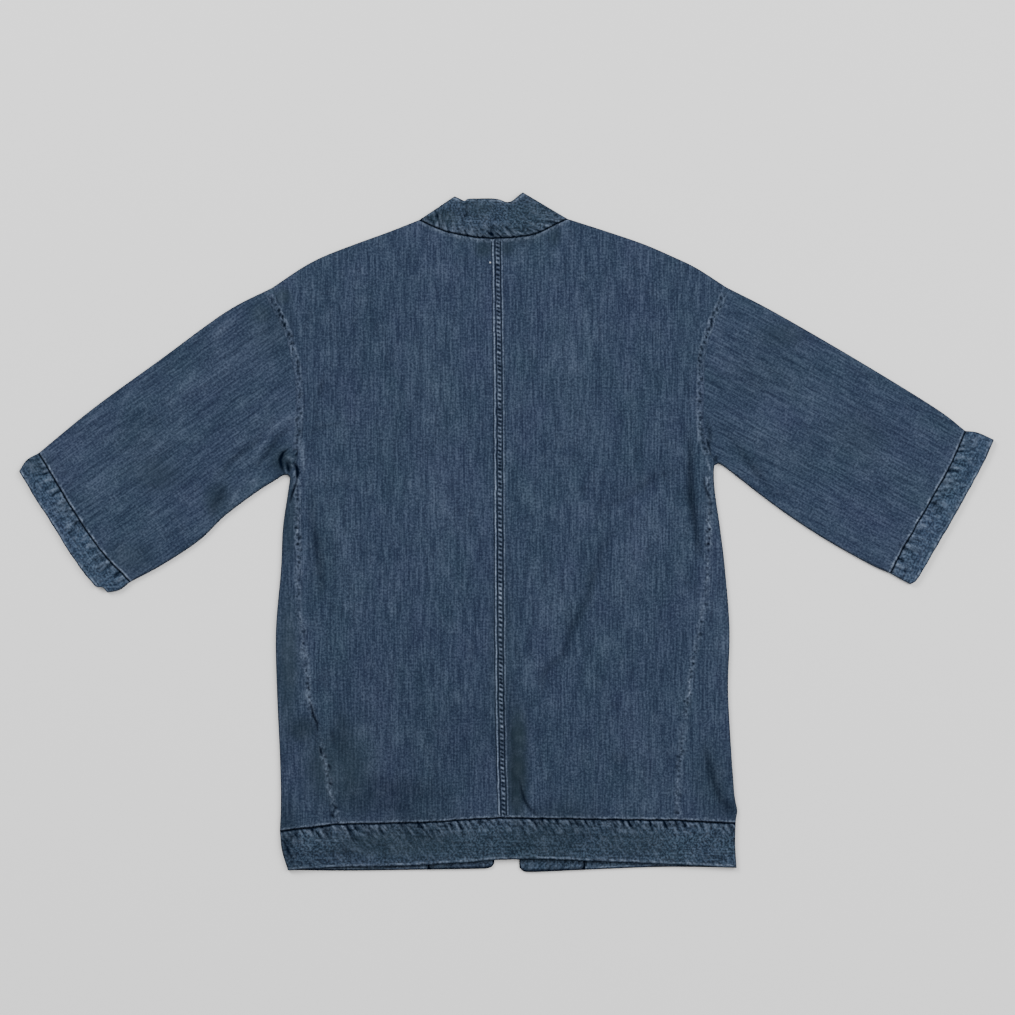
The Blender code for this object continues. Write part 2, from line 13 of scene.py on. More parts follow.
import bpy
import numpy as np
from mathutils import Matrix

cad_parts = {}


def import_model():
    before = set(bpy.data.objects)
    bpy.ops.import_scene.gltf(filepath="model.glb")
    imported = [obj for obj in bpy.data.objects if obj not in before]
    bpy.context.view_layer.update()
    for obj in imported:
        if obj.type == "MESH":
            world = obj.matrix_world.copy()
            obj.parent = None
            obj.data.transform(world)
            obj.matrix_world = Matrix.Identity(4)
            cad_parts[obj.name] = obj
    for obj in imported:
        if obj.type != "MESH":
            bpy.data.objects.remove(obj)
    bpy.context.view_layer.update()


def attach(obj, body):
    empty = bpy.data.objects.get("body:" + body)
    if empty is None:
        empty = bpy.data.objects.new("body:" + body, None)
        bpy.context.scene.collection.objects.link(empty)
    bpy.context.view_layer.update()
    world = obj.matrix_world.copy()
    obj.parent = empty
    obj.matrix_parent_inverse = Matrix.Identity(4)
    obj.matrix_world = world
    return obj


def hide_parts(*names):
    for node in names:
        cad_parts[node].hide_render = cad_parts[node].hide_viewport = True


Array = np.ndarray
Socket = bpy.types.NodeSocket
Tree = bpy.types.NodeTree
LOG = logging.getLogger("denim_kimono_jacket")
MM = 0.001
BODY = "root"
MATH = "ShaderNodeMath"


class Side(Enum):
    """The wearer's sides."""

    LEFT = "left"
    RIGHT = "right"


class Edge(Enum):
    """The four edges of a grid of cloth."""

    BOTTOM = "bottom"
    TOP = "top"
    START = "start"
    END = "end"


# Corners that several seams share: x, y
HEM_CENTRE = (-9.4, -343)
NECK_CENTRE = (-17.4, 352.2)
CENTRE_SEAM = ((-12.6, -225.6), (-13.8, -33.6), (-15, 182.4))
CORNERS = {
    Side.LEFT: {
        "hem_centre": HEM_CENTRE, "neck_centre": NECK_CENTRE,
        "neck": (-104.4, 374.4), "peak": (-62.4, 402.6), "shoulder": (-280.2, 293.4),
        "underarm": (-262.6, 68.3), "side_top": (-252.5, 86.5),
        "cuff_top": (-561, 94.8), "cuff_base": (-451.2, -60),
        "edge_top": (-584.4, 73.2), "edge_base": (-478, -72.6),
        "hem_fold": (-271.8, -358.8), "foot_fold": (-262.2, -405.6),
        "hem_side": (-202.2, -350.4),
        "hem_band": (-95.4, -358.8), "foot_band": (-94.2, -405), "foot_edge": (-14.6, -397.5),
    },
    Side.RIGHT: {
        "hem_centre": HEM_CENTRE, "neck_centre": NECK_CENTRE,
        "neck": (73.2, 375.6), "peak": (19.8, 407.4), "shoulder": (264, 293.4),
        "underarm": (251.8, 81.2), "side_top": (241, 98),
        "cuff_top": (550.2, 121.4), "cuff_base": (460.3, -49.8),
        "edge_top": (584.4, 110.8), "edge_base": (484.2, -62.8),
        "hem_fold": (274.8, -349.2), "foot_fold": (276, -402.6),
        "hem_side": (204.6, -345.6),
        "hem_band": (93.6, -358.8), "foot_band": (94.2, -405.2), "foot_edge": (15.4, -402.5),
    },
}

# The corners that each line joins
LINE_ENDS = {
    "shoulder": ("neck", "shoulder"), "neck_fold": ("neck", "peak"),
    "sleeve_top": ("shoulder", "cuff_top"), "sleeve_base": ("underarm", "cuff_base"),
    "cuff_top": ("cuff_top", "edge_top"), "cuff_base": ("cuff_base", "edge_base"),
    "cuff_seam": ("cuff_top", "cuff_base"), "cuff_edge": ("edge_top", "edge_base"),
    "armhole": ("shoulder", "side_top"), "underarm": ("side_top", "underarm"),
    "side_seam": ("hem_side", "side_top"), "side_fold": ("hem_fold", "underarm"),
    "hem_end": ("hem_fold", "foot_fold"), "front_hem": ("hem_fold", "hem_band"),
    "front_foot": ("foot_fold", "foot_band"), "band_foot": ("foot_band", "foot_edge"),
    "band_end": ("hem_band", "foot_band"), "band_seam": ("hem_band", "neck"),
    "band_edge": ("foot_edge", "peak"), "neck": ("neck_centre", "neck"),
    "hem": ("hem_centre", "hem_side"), "hem_wrap": ("hem_fold", "hem_side"),
    "centre": ("hem_centre", "neck_centre"),
}

# Points between the corners; a line that isn't here runs straight
LINE_POINTS = {
    Side.LEFT: {
        "shoulder": ((-141, 360), (-180.6, 345.6), (-217.8, 331.2), (-245.4, 316.8)),
        "sleeve_top": ((-336.6, 264), (-415.8, 206.4), (-495, 148.8)),
        "sleeve_base": ((-267.7, 68), (-276.6, 62.4), (-299.4, 48), (-337.8, 19.2),
                        (-367.8, -9.6), (-411, -38.4)),
        "cuff_top": ((-575.4, 86.4),),
        "cuff_base": ((-464, -69.6),),
        "cuff_seam": ((-543.7, 66.5), (-517.7, 23.5), (-485.2, -23.4)),
        "cuff_edge": ((-563.3, 37.8), (-543.7, 7.9), (-523, -25.9), (-505, -51), (-497, -60),
                      (-491.4, -65.5), (-484.5, -66.2)),
        "armhole": ((-270.6, 266.4), (-259.8, 242.4), (-251.4, 216), (-246.6, 182.4),
                    (-245.4, 146.4), (-247, 116.4)),
        "side_seam": ((-217.8, -276), (-226.2, -237.6), (-235.8, -201.6), (-243, -129.6),
                      (-248.6, -81.6), (-249.6, -21.6), (-250.5, 38.4)),
        "side_fold": ((-270.6, -321.6), (-271.8, -268.8), (-275.4, -189.6), (-276.6, -117.6),
                      (-270.6, -45.6), (-268.2, 4.8), (-262.4, 46), (-260, 63.6)),
        "hem_end": ((-269.4, -382),),
        "front_hem": ((-187.8, -359.4),),
        "front_foot": ((-187.8, -406.2),),
        "band_foot": ((-54, -404.4), (-34, -404), (-24.2, -403.6), (-17.8, -401.8)),
        "band_seam": ((-102, -100), (-109, 160)),
        "band_edge": ((-33, -100), (-50, 180)),
        "neck": ((-36, 353.5), (-63.5, 358.1), (-86.5, 365.8)),
        "hem": ((-43.8, -344.8), (-91.8, -348), (-163.8, -349.6)),
        "hem_wrap": ((-235.8, -355.2),),
        "centre": CENTRE_SEAM,
    },
    Side.RIGHT: {
        "shoulder": ((121.8, 360), (163.8, 345.6), (197.4, 331.2), (227.4, 316.8)),
        "sleeve_top": ((321, 264), (420.6, 206.4), (514.2, 148.8)),
        "sleeve_base": ((257.4, 80.6), (281.4, 62.4), (305, 44), (339, 19.2), (383.4, -9.6),
                        (435, -38.4)),
        "cuff_top": ((565, 119.4),),
        "cuff_base": ((471, -55.9),),
        "cuff_seam": ((530.9, 77.3), (509.4, 39), (475.8, -19.2)),
        "cuff_edge": ((570.6, 80.4), (544.7, 32.9), (521.6, -7), (494, -54)),
        "armhole": ((252.6, 271.2), (243, 248.4), (235.8, 224.4), (232.2, 200.4), (231, 170.4),
                    (231, 140.4), (233.6, 114)),
        "side_seam": ((205.8, -297.6), (213, -230.4), (225, -147.6), (233.4, -105.6),
                      (239.6, -61.2), (241.8, -21.6), (242.6, 26.4)),
        "side_fold": ((275.6, -342), (276.8, -333.6), (273.8, -318), (271.8, -294), (270, -268.8),
                      (265.8, -189.6), (267.6, -117.6), (262.2, -45.6), (256.2, 4.8), (249.8, 50),
                      (248.9, 76.4)),
        "hem_end": ((274.4, -375),),
        "front_hem": ((186, -354.6),),
        "front_foot": ((186.6, -401.8),),
        "band_foot": ((46.2, -407.4), (30, -407.9), (20.4, -407)),
        "band_seam": ((92, -100), (84, 160)),
        "band_edge": ((14, -100), (11, 180)),
        "neck": ((10, 353.5), (33, 357.4), (48.2, 363.5), (63.5, 371.2)),
        "hem": ((40.2, -343.6), (112.2, -344.8)),
        "hem_wrap": ((232.2, -347.6),),
        "centre": CENTRE_SEAM,
    },
}
# Middle of each felled armhole seam, which is pressed towards the sleeve
ARMHOLE_FELLS = {
    Side.LEFT: ((-285, 285.6), (-279, 273.6), (-271.8, 261.6), (-265.2, 248.4),
                (-258.6, 230.4), (-254, 212.4), (-250.8, 196.8), (-248.8, 180.6),
                (-248, 162), (-248.4, 140.4), (-249.8, 116.4), (-252.4, 96)),
    Side.RIGHT: ((261.6, 288), (257.4, 277.8), (252.4, 267.6), (246.6, 255.6),
                 (242.2, 243), (238, 230.4), (234.6, 216.6), (232.8, 200.4),
                 (232.2, 182.4), (231.4, 162), (231.2, 144), (232, 128.4),
                 (234.4, 114.6), (237.8, 102.6), (242, 91)),
}
# Between the peaks along the neckband's top, and between the side folds along the hem's foot
NECKBAND_TOP = ((-55.2, 399.2), (-50.4, 397), (-47, 398.9), (-41, 399.6), (-36, 399.8),
                (-11.4, 399.4), (3, 395.8))
BACK_FOOT = ((-198.6, -402), (-103.8, -399.6), (-31.8, -394.8), (-11.4, -393),
             (40.2, -392.4), (100.2, -394.4), (196.2, -398.4))

# Soft folds of the upper sheet: start x, y, end x, y, half width, height (below 0: trough).
# A trough is painted with shade and a ridge with a highlight, in proportion to its height
FOLDS = (
    (198.6, 72, 160.2, 52.8, 13, -0.9),
    (160.2, 52.8, 112.2, 26.4, 13, -0.8),
    (126.6, 0, 102.6, -57.6, 14, -1),
    (102.6, -57.6, 78.6, -115.2, 14, -0.9),
    (78.6, -115.2, 43.8, -171.6, 14, -0.9),
    (168, 16, 138, -70, 20, 0.9),
    (62, -60, 50, -104, 16, 0.9),
    (220.2, 110.4, 221.4, 38.4, 9, -1),
    (221.4, 38.4, 233.4, -28.8, 9, -0.9),
    (-233.4, 50.4, -227.4, -15.6, 11, -0.8),
    (-227.4, -15.6, -222.6, -79.2, 11, -0.9),
    (-200, 30, -188, -80, 16, 0.7),
    (-96, 210, -76, 20, 22, 0.7),
    (70, 250, 84, 120, 22, 0.7),
    (5.4, -190, 9, -330, 8, -0.8),
    (-160, -190, -150, -270, 18, 0.7),
    (-150, -310, -96, -316, 16, -0.7),
    (150, -220, 176, -320, 18, 0.8),
    (237, -255.6, 256.2, -319.2, 10, -0.8),
    (-253.8, 136.8, -303, 92.4, 9, 1),
    (-289.8, 115.2, -341.4, 68.4, 9, -0.9),
    (-259.8, 124.8, -299.4, 76.8, 7, -0.8),
    (-336.6, 56.4, -353.4, 18, 11, -0.9),
    (-319.8, 50.4, -334.2, 28.8, 11, 0.9),
    (-300, 226, -400, 160, 18, 0.8),
    (-400, 120, -500, 48, 16, 0.8),
    (262, 200, 380, 160, 18, 0.8),
    (262.2, 120, 300.6, 68.4, 10, -0.9),
    (300.6, 68.4, 328.2, 38.4, 10, -0.8),
    (300, 124, 352, 84, 13, 0.8),
    (390, 130, 488, 62, 16, 0.8),
    (-272, 92, -262, 74, 3.2, -1),
    (-266, 98, -254, 80, 3, 0.8),
    (-206, -366, -192, -398, 4, 0.6),
    (28, 396, 44, 374, 6, 0.7),
    (6, 396, 26, 376, 6, -0.7),
)

# Narrow creases: points along each, half width, height (below 0: pressed in), dark share:
# painted shade in the crease, and below 0 a painted highlight along a ridge
CREASES = (
    # Left underarm, where the sleeve's cloth is bunched
    (((-261.6, 98.4), (-267.6, 95.4), (-271.8, 87.6), (-270, 79.2), (-266.4, 71.4)),
     2.2, -1.3, 1.4),
    (((-263.4, 82.8), (-262, 77.4), (-260.4, 71.4)), 1.9, -1, 1.3),
    (((-254.4, 82.8), (-251.4, 77.4), (-250.2, 70.8), (-251.4, 62.4)), 2.3, -1.3, 1.4),
    (((-250.8, 62.4), (-253.8, 53.4), (-257, 45), (-259.2, 34.8)), 1.6, -0.8, 1),
    (((-267, 83.4), (-259.2, 82.2), (-252.6, 82.8)), 0.9, -0.3, 0.5),
    (((-266.6, 79.8), (-263.6, 70.8)), 1.2, 0.4, -0.4),
    (((-258.6, 83), (-254.8, 77)), 1.2, 0.6, -0.45),
    (((-264.6, 91.2), (-258, 87), (-252.6, 89.4)), 1.3, 0.4, -0.35),
    (((-254.4, 90), (-249.6, 96)), 1.2, -0.4, 0.9),
    (((-245.4, 110.4), (-244.2, 92.4), (-243, 68.4)), 3.2, 0.3, -0.25),
    # Left sleeve, from the armhole downward
    (((-289.8, 115.2), (-307.8, 100.8), (-322.2, 91.2), (-334.2, 80.4), (-341.4, 68.4)),
     3.6, -0.5, 0.34),
    (((-253.8, 136.8), (-268.2, 133.2), (-281.4, 122.4), (-292.2, 104.4), (-303, 92.4)),
     2.3, 0.5, -0.13),
    (((-259.8, 124.8), (-275.4, 112.8), (-281.4, 100.8), (-293.4, 86.4), (-299.4, 76.8)),
     3.6, -0.5, 0.34),
    (((-336.6, 56.4), (-343.8, 42), (-351, 30), (-353.4, 18)), 4.8, -0.5, 0.36),
    (((-319.8, 50.4), (-325.8, 40.8), (-334.2, 28.8)), 3.6, 0.4, -0.17),
    (((-306.6, 62.4), (-297, 57.6)), 6, 0.3, -0.15),
    (((-325.8, 254.4), (-353.4, 232.8)), 4, 0.3, -0.15),
    (((-410, 200), (-402, 193)), 9, -0.2, 0.2),
    (((-426, 138), (-417, 131)), 9, -0.2, 0.2),
    # Left side of the back
    (((-217.8, 184.8), (-221.4, 176.4), (-226.2, 162)), 3, -0.3, 0.3),
    (((-238.2, 116.4), (-226.2, 124.8), (-205.8, 128.4), (-193.8, 130.8)), 3.2, -0.3, 0.22),
    (((-233.4, 50.4), (-232.2, 14.4), (-227.4, -15.6), (-223.8, -39.6), (-221.4, -63.6),
      (-222.6, -79.2)), 4.8, -0.5, 0.32),
    (((-211.8, -81.6), (-205.8, -99.6)), 4, -0.3, 0.2),
    (((-236.6, -203), (-232.6, -212.4), (-231.6, -220), (-227, -229), (-226.2, -239.6)),
     1.8, -0.9, 0.95),
    (((-210.6, -237.6), (-205.8, -255.6)), 3, -0.4, 0.35),
    (((-245.4, -134), (-245.4, -152)), 4, 0.2, -0.17),
    (((-240.6, -190), (-240.6, -200)), 3.2, 0.2, -0.17),
    (((-223.8, -256.8), (-221.4, -268.8)), 1.6, -0.5, 1),
    (((-219.6, -264), (-217.2, -277.2), (-215.4, -291.6)), 1.5, 0.5, -0.35),
    (((-214, -278), (-210.6, -284.4)), 1.8, -0.4, 0.9),
    (((-213, -300), (-208.2, -303.6)), 2, -0.4, 0.9),
    (((-215.8, -303.6), (-207, -320.4)), 1.6, 0.4, -0.35),
    (((-207, -327.6), (-202.2, -332.4)), 2, -0.4, 0.9),
    (((-203.4, -332.4), (-199.8, -336)), 1.4, 0.3, -0.3),
    (((-210.6, -337.2), (-205.8, -343.2)), 1.8, -0.5, 1),
    # Right side of the back
    (((220.2, 110.4), (220.2, 74.4), (221.4, 38.4), (226.2, 8.4), (229.8, -15.6),
      (233.4, -28.8)), 4.6, -0.9, 0.6),
    (((198.6, 72), (178.2, 66), (160.2, 52.8), (142.2, 40.8), (121.8, 31.2),
      (112.2, 26.4)), 4.8, -0.4, 0.2),
    (((126.6, 0), (114.6, -19.2), (109.8, -39.6), (102.6, -57.6), (96.6, -81.6),
      (88.2, -99.6), (78.6, -115.2), (73.8, -132), (67.8, -147.6), (54.6, -158.4),
      (43.8, -171.6), (42.6, -189.6)), 5, -0.5, 0.3),
    (((5.4, -189.6), (4.2, -225.6), (6.6, -255.6), (9, -297.6), (6.6, -321.6),
      (12.6, -343.2)), 3.2, -0.4, 0.22),
    (((11.4, -129.6), (16.2, -159.6)), 3.6, -0.3, 0.2),
    (((15.6, -296), (17.4, -307.2), (21, -320), (28.2, -332.4), (38, -340.4)),
     1.9, -0.6, 0.95),
    (((237, -255.6), (241.8, -273.6), (249, -300), (256.2, -319.2), (268.2, -331.2),
      (274.2, -336)), 5.4, -0.5, 0.55),
    (((122, -271.2), (148, -271.2)), 7, -0.2, 0.2),
    (((131.4, -204), (131.4, -214)), 7, -0.2, 0.18),
    (((91.8, 56), (91.8, 45)), 4, -0.2, 0.2),
    # Right underarm and sleeve
    (((239.4, 134.4), (244.2, 116.4), (241.8, 98.4)), 3.2, -0.5, 0.5),
    (((252.6, 92.4), (249, 82.8)), 2.6, -0.7, 0.75),
    (((231, 128.4), (230.4, 116), (229.8, 104.4)), 2.6, 0.3, -0.23),
    (((238.6, 88), (242, 80), (246, 71)), 1.5, 0.4, -0.4),
    (((245.6, 68.4), (240.6, 61), (238.4, 52)), 1.1, 0.3, -0.35),
    (((236.4, 66), (237.4, 56), (241, 46), (245.4, 34)), 1.7, -0.7, 0.75),
    (((240, 112), (243.6, 100), (244.8, 90)), 1.6, -0.5, 0.6),
    (((262.2, 120), (274.2, 104.4), (286.2, 88.8), (300.6, 68.4), (313.8, 50.4),
      (328.2, 38.4)), 4.8, -0.5, 0.24),
    # Cuffs
    (((535.8, 78), (528.6, 70.8)), 4.2, -0.4, 0.4),
    (((508.2, 38.4), (514.2, 28.8)), 3.6, -0.4, 0.4),
    (((469.8, -15.6), (481.8, -24)), 3.2, -0.5, 0.6),
    (((460.2, -42), (464, -50)), 3, -0.5, 0.6),
    (((-559.8, 74.4), (-552, 66)), 3.2, -0.4, 0.45),
    (((-541.8, 62.4), (-536, 54)), 3, -0.4, 0.4),
    (((-529.8, 32.4), (-524, 24)), 3.2, -0.4, 0.4),
    (((-511.8, 14.4), (-506, 6)), 3, -0.4, 0.4),
    (((-499.8, -9.6), (-494, -17)), 3.2, -0.4, 0.4),
    (((-487.8, -25.2), (-480, -33)), 3.2, -0.4, 0.45),
    # Hem band
    (((-199.8, -366), (-193.8, -381.6), (-185.4, -396)), 3.2, -0.6, 0.45),
    (((-163.8, -369.6), (-139.8, -379.2)), 4, -0.4, 0.3),
    (((-268.2, -366), (-262, -380), (-255, -400)), 2.4, -0.6, 0.65),
    (((-190.5, -366.4), (-183, -369.4), (-174, -368.2)), 1.4, -0.4, 0.6),
    (((-176, -358), (-160, -358.6), (-146, -357)), 3.4, -0.3, 0.4),
    # Neckband
    (((-19.6, 353.4), (-18.4, 358.2), (-19.2, 367.2)), 3, -0.4, 0.6),
    (((-84.6, 385), (-82.2, 373.2)), 1.5, -0.7, 0.8),
    (((-47.4, 397.2), (-48.6, 381.6), (-51, 372)), 2.4, -0.6, 0.5),
    (((-95.4, 380.4), (-91.8, 372)), 1.4, -0.5, 0.6),
    (((6.6, 397.2), (3, 383)), 2.2, -0.5, 0.4),
    (((55.8, 384), (64.2, 373)), 1.8, -0.5, 0.5),
    (((-19.8, 323.6), (-2, 324.4), (28, 323.4)), 1.2, 0.2, -0.15),
)

# Patches where the wash left the cloth greener, and patches painted darker or paler: x, y,
# half width, half height, green share, dark share. The dark share is partly a darker wash
# and partly painted shade, as at the left hem corner; below zero the cloth is made paler by so
# much, mostly as painted light, as along the right edges
WASH_AND_SHADING_PATCHES = (
    (-262, -160, 14, 90, 0.6, 0), (-200, -280, 40, 50, 0.8, 0.05),
    (-245, -236, 19, 16, 0.6, 0.28), (-198, -246, 15, 32, 0.5, 0.24),
    (-127.8, -313.2, 64, 24, 0.12, 0.28), (-133.8, -328, 40, 10, 0.12, 0.32),
    (-178, -318, 30, 26, 0.3, 0.24), (-27, 340, 11, 11, 0.7, 0.18),
    (0, 341, 10, 10, 0.6, 0.18), (57, 355, 8, 12, 0.6, 0.08),
    (-325, 240, 74, 36, 0, 0.06), (306, 194, 48, 34, 0, 0.15),
    (-140, -344, 110, 12, 0, 0.1), (-150, 170, 110, 90, 0, 0.04),
    (-70, -250, 100, 66, 0, 0.12), (120, -280, 90, 60, 0, 0.05),
    (-150, -200, 80, 60, 0, 0.08), (-190, 250, 80, 44, 0, 0.06),
    (328, 96, 46, 24, 0, 0.09), (-236, -398, 70, 18, 0, 0.2),
    (266, -331, 14, 12, 0.2, 0.3), (-346, 38, 16, 22, 0.5, 0.05),
    (-78, 376, 22, 12, 0.7, 0.1), (-34, 388, 20, 12, 0.5, 0.05),
    (28, 384, 30, 16, 0.45, 0.05), (13, -250, 12.5, 44, 0.8, 0.1),
    (13, -296, 13, 56, 0.95, 0.24),
    (40, -370, 60, 26, 0.6, 0), (-120, -372, 110, 22, 0.65, 0),
    (150, -370, 60, 22, 0.5, 0), (-293, 262, 13, 12, 0.6, 0.1),
    (-268, 282, 10, 10, 0.6, 0.05), (-268, 86, 16, 16, 0.7, 0.15),
    (-420, 70, 30, 22, 0.4, 0), (-500, 118, 30, 18, 0, -0.03),
    (-566, 82, 16, 14, 0.5, 0.1), (-452, -30, 30, 20, 0.4, 0),
    (246, -300, 22, 42, 0.3, 0.04), (258, -128, 14, 70, 0, -0.035),
    (330, 236, 30, 16, 0.4, 0), (-6, -140, 14, 120, 0.35, 0),
    (-262, 20, 12, 60, 0.5, 0.05), (-264, -362, 16, 44, 0.3, 0.26),
    (-106, -346, 56, 30, 0.2, 0.2), (70, -354, 46, 34, 0.4, 0.2),
    (0, 356, 46, 14, 0.4, 0.22), (-280, 250, 24, 34, 0.2, 0.15),
    (424, 116, 30, 32, 0.2, 0.11), (-440, 116, 28, 28, 0.1, 0.1),
    (-218, -34, 20, 40, 0.1, 0.1), (460, -34, 26, 28, 0, -0.03),
    (16, 158, 20, 26, 0, -0.03), (-146, 112, 24, 28, 0, -0.03),
    (8, -378, 52, 16, 0.3, 0.18), (-180, -378, 24, 14, 0.3, 0.12),
)


def hex_colour(code: str) -> tuple[float, float, float, float]:
    """Turn an sRGB hex value into linear red, green, blue and alpha.

    Args:
        code: six hex digits, such as "36485C".

    Returns:
        The linear colour with alpha 1.
    """
    parts = [int(code[i:i + 2], 16) / 255 for i in (0, 2, 4)]
    linear = [c / 12.92 if c <= 0.04045 else ((c + 0.055) / 1.055) ** 2.4 for c in parts]
    return (*linear, 1.0)


def add_node(tree: Tree, kind: str, links: dict | None = None,
             **settings: object) -> bpy.types.Node:
    """Add a node with its settings and inputs.

    Args:
        tree: the node tree that gets the node.
        kind: the node's type name.
        links: input name or number to a socket that is linked, or to a value that is set.
        **settings: properties of the node.

    Returns:
        The new node.
    """
    node = tree.nodes.new(kind)
    for name, value in settings.items():
        setattr(node, name, value)
    for name, value in (links or {}).items():
        if isinstance(value, Socket):
            tree.links.new(value, node.inputs[name])
        else:
            node.inputs[name].default_value = value
    return node


def clipped(values: Array) -> Array:
    """Values held between 0 and 1."""
    return np.clip(values, 0.0, 1.0)


def bell(offset: Array, power: int = 2) -> Array:
    """1 where the offset is 0, falling smoothly to almost 0 beyond an offset of 2."""
    return np.exp(-offset ** power)


def travelled(points: Array) -> Array:
    """Distance along a run of points, at each of them."""
    return np.concatenate([[0.0], np.cumsum(np.linalg.norm(np.diff(points, axis=0), axis=1))])


def beside(marks: Array, places: Array, steps: tuple[int, ...]) -> list[Array]:
    """Numbers of the sorted marks so many steps from each place."""
    ahead = np.searchsorted(marks, places)
    return [np.clip(ahead + step, 0, len(marks) - 1) for step in steps]


class SmoothLine:
    """A smooth line through a few points, read by its distance from the start.

    SAMPLES is how many points each span gets, and NEARBY how far on both sides of a place its
    direction is taken.
    """

    SAMPLES = 16
    NEARBY = 1.5

    def __init__(self, points: list) -> None:
        """Pass a cubic through the points."""
        knots = np.array(points, dtype=float)
        if len(knots) > 2:
            knots = np.vstack([2 * knots[0] - knots[1], knots, 2 * knots[-1] - knots[-2]])
            t = np.linspace(0.0, 1.0, self.SAMPLES, endpoint=False)[:, None]
            spans = [self.span(*knots[i:i + 4], t) for i in range(len(knots) - 3)]
            self.points = np.vstack(spans + [knots[-2][None]])
        else:
            t = np.linspace(0.0, 1.0, self.SAMPLES + 1)[:, None]
            self.points = knots[0] + (knots[1] - knots[0]) * t
        self.reach = travelled(self.points)
        self.length = float(self.reach[-1])

    @staticmethod
    def span(a: Array, b: Array, c: Array, d: Array, t: Array) -> Array:
        """The cubic between b and c whose slopes come from a and d."""
        return 0.5 * (2 * b + (c - a) * t + (2 * a - 5 * b + 4 * c - d) * t ** 2
                      + (3 * b - a - 3 * c + d) * t ** 3)

    def at(self, distances: Array) -> Array:
        """Points at these distances from the start."""
        return np.column_stack([np.interp(distances, self.reach, self.points[:, k])
                                for k in (0, 1)])

    def normals(self, distances: Array) -> Array:
        """Unit vectors to the right of the line at these distances."""
        step = self.at(distances + self.NEARBY) - self.at(distances - self.NEARBY)
        step /= np.linalg.norm(step, axis=1)[:, None]
        return np.column_stack([step[:, 1], -step[:, 0]])

    def stations(self, count: int, head: tuple = (0.0,), tail: tuple = (0.0,)) -> Array:
        """Points at the head marks, evenly between, and at the tail marks from the end.

        Args:
            count: how many steps lie between the last head mark and the last tail mark.
            head: distances from the start.
            tail: distances from the end.

        Returns:
            The points, from start to end.
        """
        first, last = max(head), self.length - max(tail)
        between = np.linspace(first, last, count + 1)[1:-1]
        return self.at(np.concatenate([sorted(head), between,
                                       sorted(self.length - np.array(tail))]))

    def matching(self, run: Array) -> Array:
        """As many stations as a run has, close together at both ends."""
        return self.stations(len(run) - 2 * len(ROUNDED) + 1, head=ROUNDED, tail=ROUNDED)


def joined(*runs: Array) -> Array:
    """Put runs of stations end to end, with each shared corner kept once."""
    return np.vstack([runs[0]] + [run[1:] for run in runs[1:]])


class Cut:
    """The jacket's seam lines and outline, as they lie."""

    FOLDED = ("shoulder", "neck_fold", "sleeve_top", "cuff_top", "sleeve_base", "cuff_base",
              "side_fold", "hem_end")

    def line(self, side: Side, name: str) -> SmoothLine:
        """The named line of one side."""
        first, last = (CORNERS[side][corner] for corner in LINE_ENDS[name])
        return SmoothLine([first, *LINE_POINTS[side].get(name, ()), last])

    def centre(self) -> SmoothLine:
        """The centre back seam, from the hem to the neck."""
        return self.line(Side.LEFT, "centre")

    def run(self, side: Side, name: str, count: int, head: tuple = (0.0,),
            tail: tuple = (0.0,)) -> Array:
        """Stations on the named line of one side."""
        return self.line(side, name).stations(count, head, tail)

    def facing(self, side: Side, names: tuple[str, str], *marks: object) -> list[Array]:
        """Stations on two lines that face each other across a piece."""
        return [self.run(side, name, *marks) for name in names]

    def outline(self) -> list[Array]:
        """The lines along which the cloth folds from the lower to the upper sheet."""
        return [self.line(side, name).points for side in Side for name in self.FOLDED]


@dataclass(frozen=True)
class Ripple:
    """Smooth random waviness of cloth, the same each time."""

    seed: int
    cell: tuple[float, float]
    lattice: int = 64

    def at(self, points: Array) -> Array:
        """Values from about -1 to 1 at these points.

        Args:
            points: an array whose last axis is x, y.

        Returns:
            One value for each point.
        """
        values = np.random.default_rng(self.seed).uniform(-1, 1, (self.lattice, self.lattice))
        place = points / np.array(self.cell)
        whole = np.floor(place).astype(int)
        part = place - whole
        part = part * part * part * (part * (6 * part - 15) + 10)
        x0, y0 = whole[..., 0] % self.lattice, whole[..., 1] % self.lattice
        x1, y1 = (x0 + 1) % self.lattice, (y0 + 1) % self.lattice
        low = values[x0, y0] * (1 - part[..., 0]) + values[x1, y0] * part[..., 0]
        high = values[x0, y1] * (1 - part[..., 0]) + values[x1, y1] * part[..., 0]
        return low * (1 - part[..., 1]) + high * part[..., 1]


def swings(seed: int, cell: float, along: Array) -> Array:
    """Smooth random values from about -1 to 1 at distances along a line."""
    return Ripple(seed, (cell, cell)).at(np.stack([along, np.zeros_like(along)], axis=-1))


def path_place(points: Array, path: Array) -> tuple[Array, Array]:
    """Find where points lie beside a path of straight runs.

    Args:
        points: x, y of each point.
        path: the path's corners.

    Returns:
        Each point's distance from the path, and its share of the way along it.
    """
    nearest, share = np.full(len(points), np.inf), np.zeros(len(points))
    passed = travelled(path)
    for start, run, length, before in zip(path, np.diff(path, axis=0), np.diff(passed), passed):
        part = clipped((points - start) @ run / max(length ** 2, 1e-9))
        gap = np.linalg.norm(points - start - part[:, None] * run, axis=1)
        closer = gap < nearest
        nearest = np.where(closer, gap, nearest)
        share = np.where(closer, (before + part * length) / passed[-1], share)
    return nearest, share


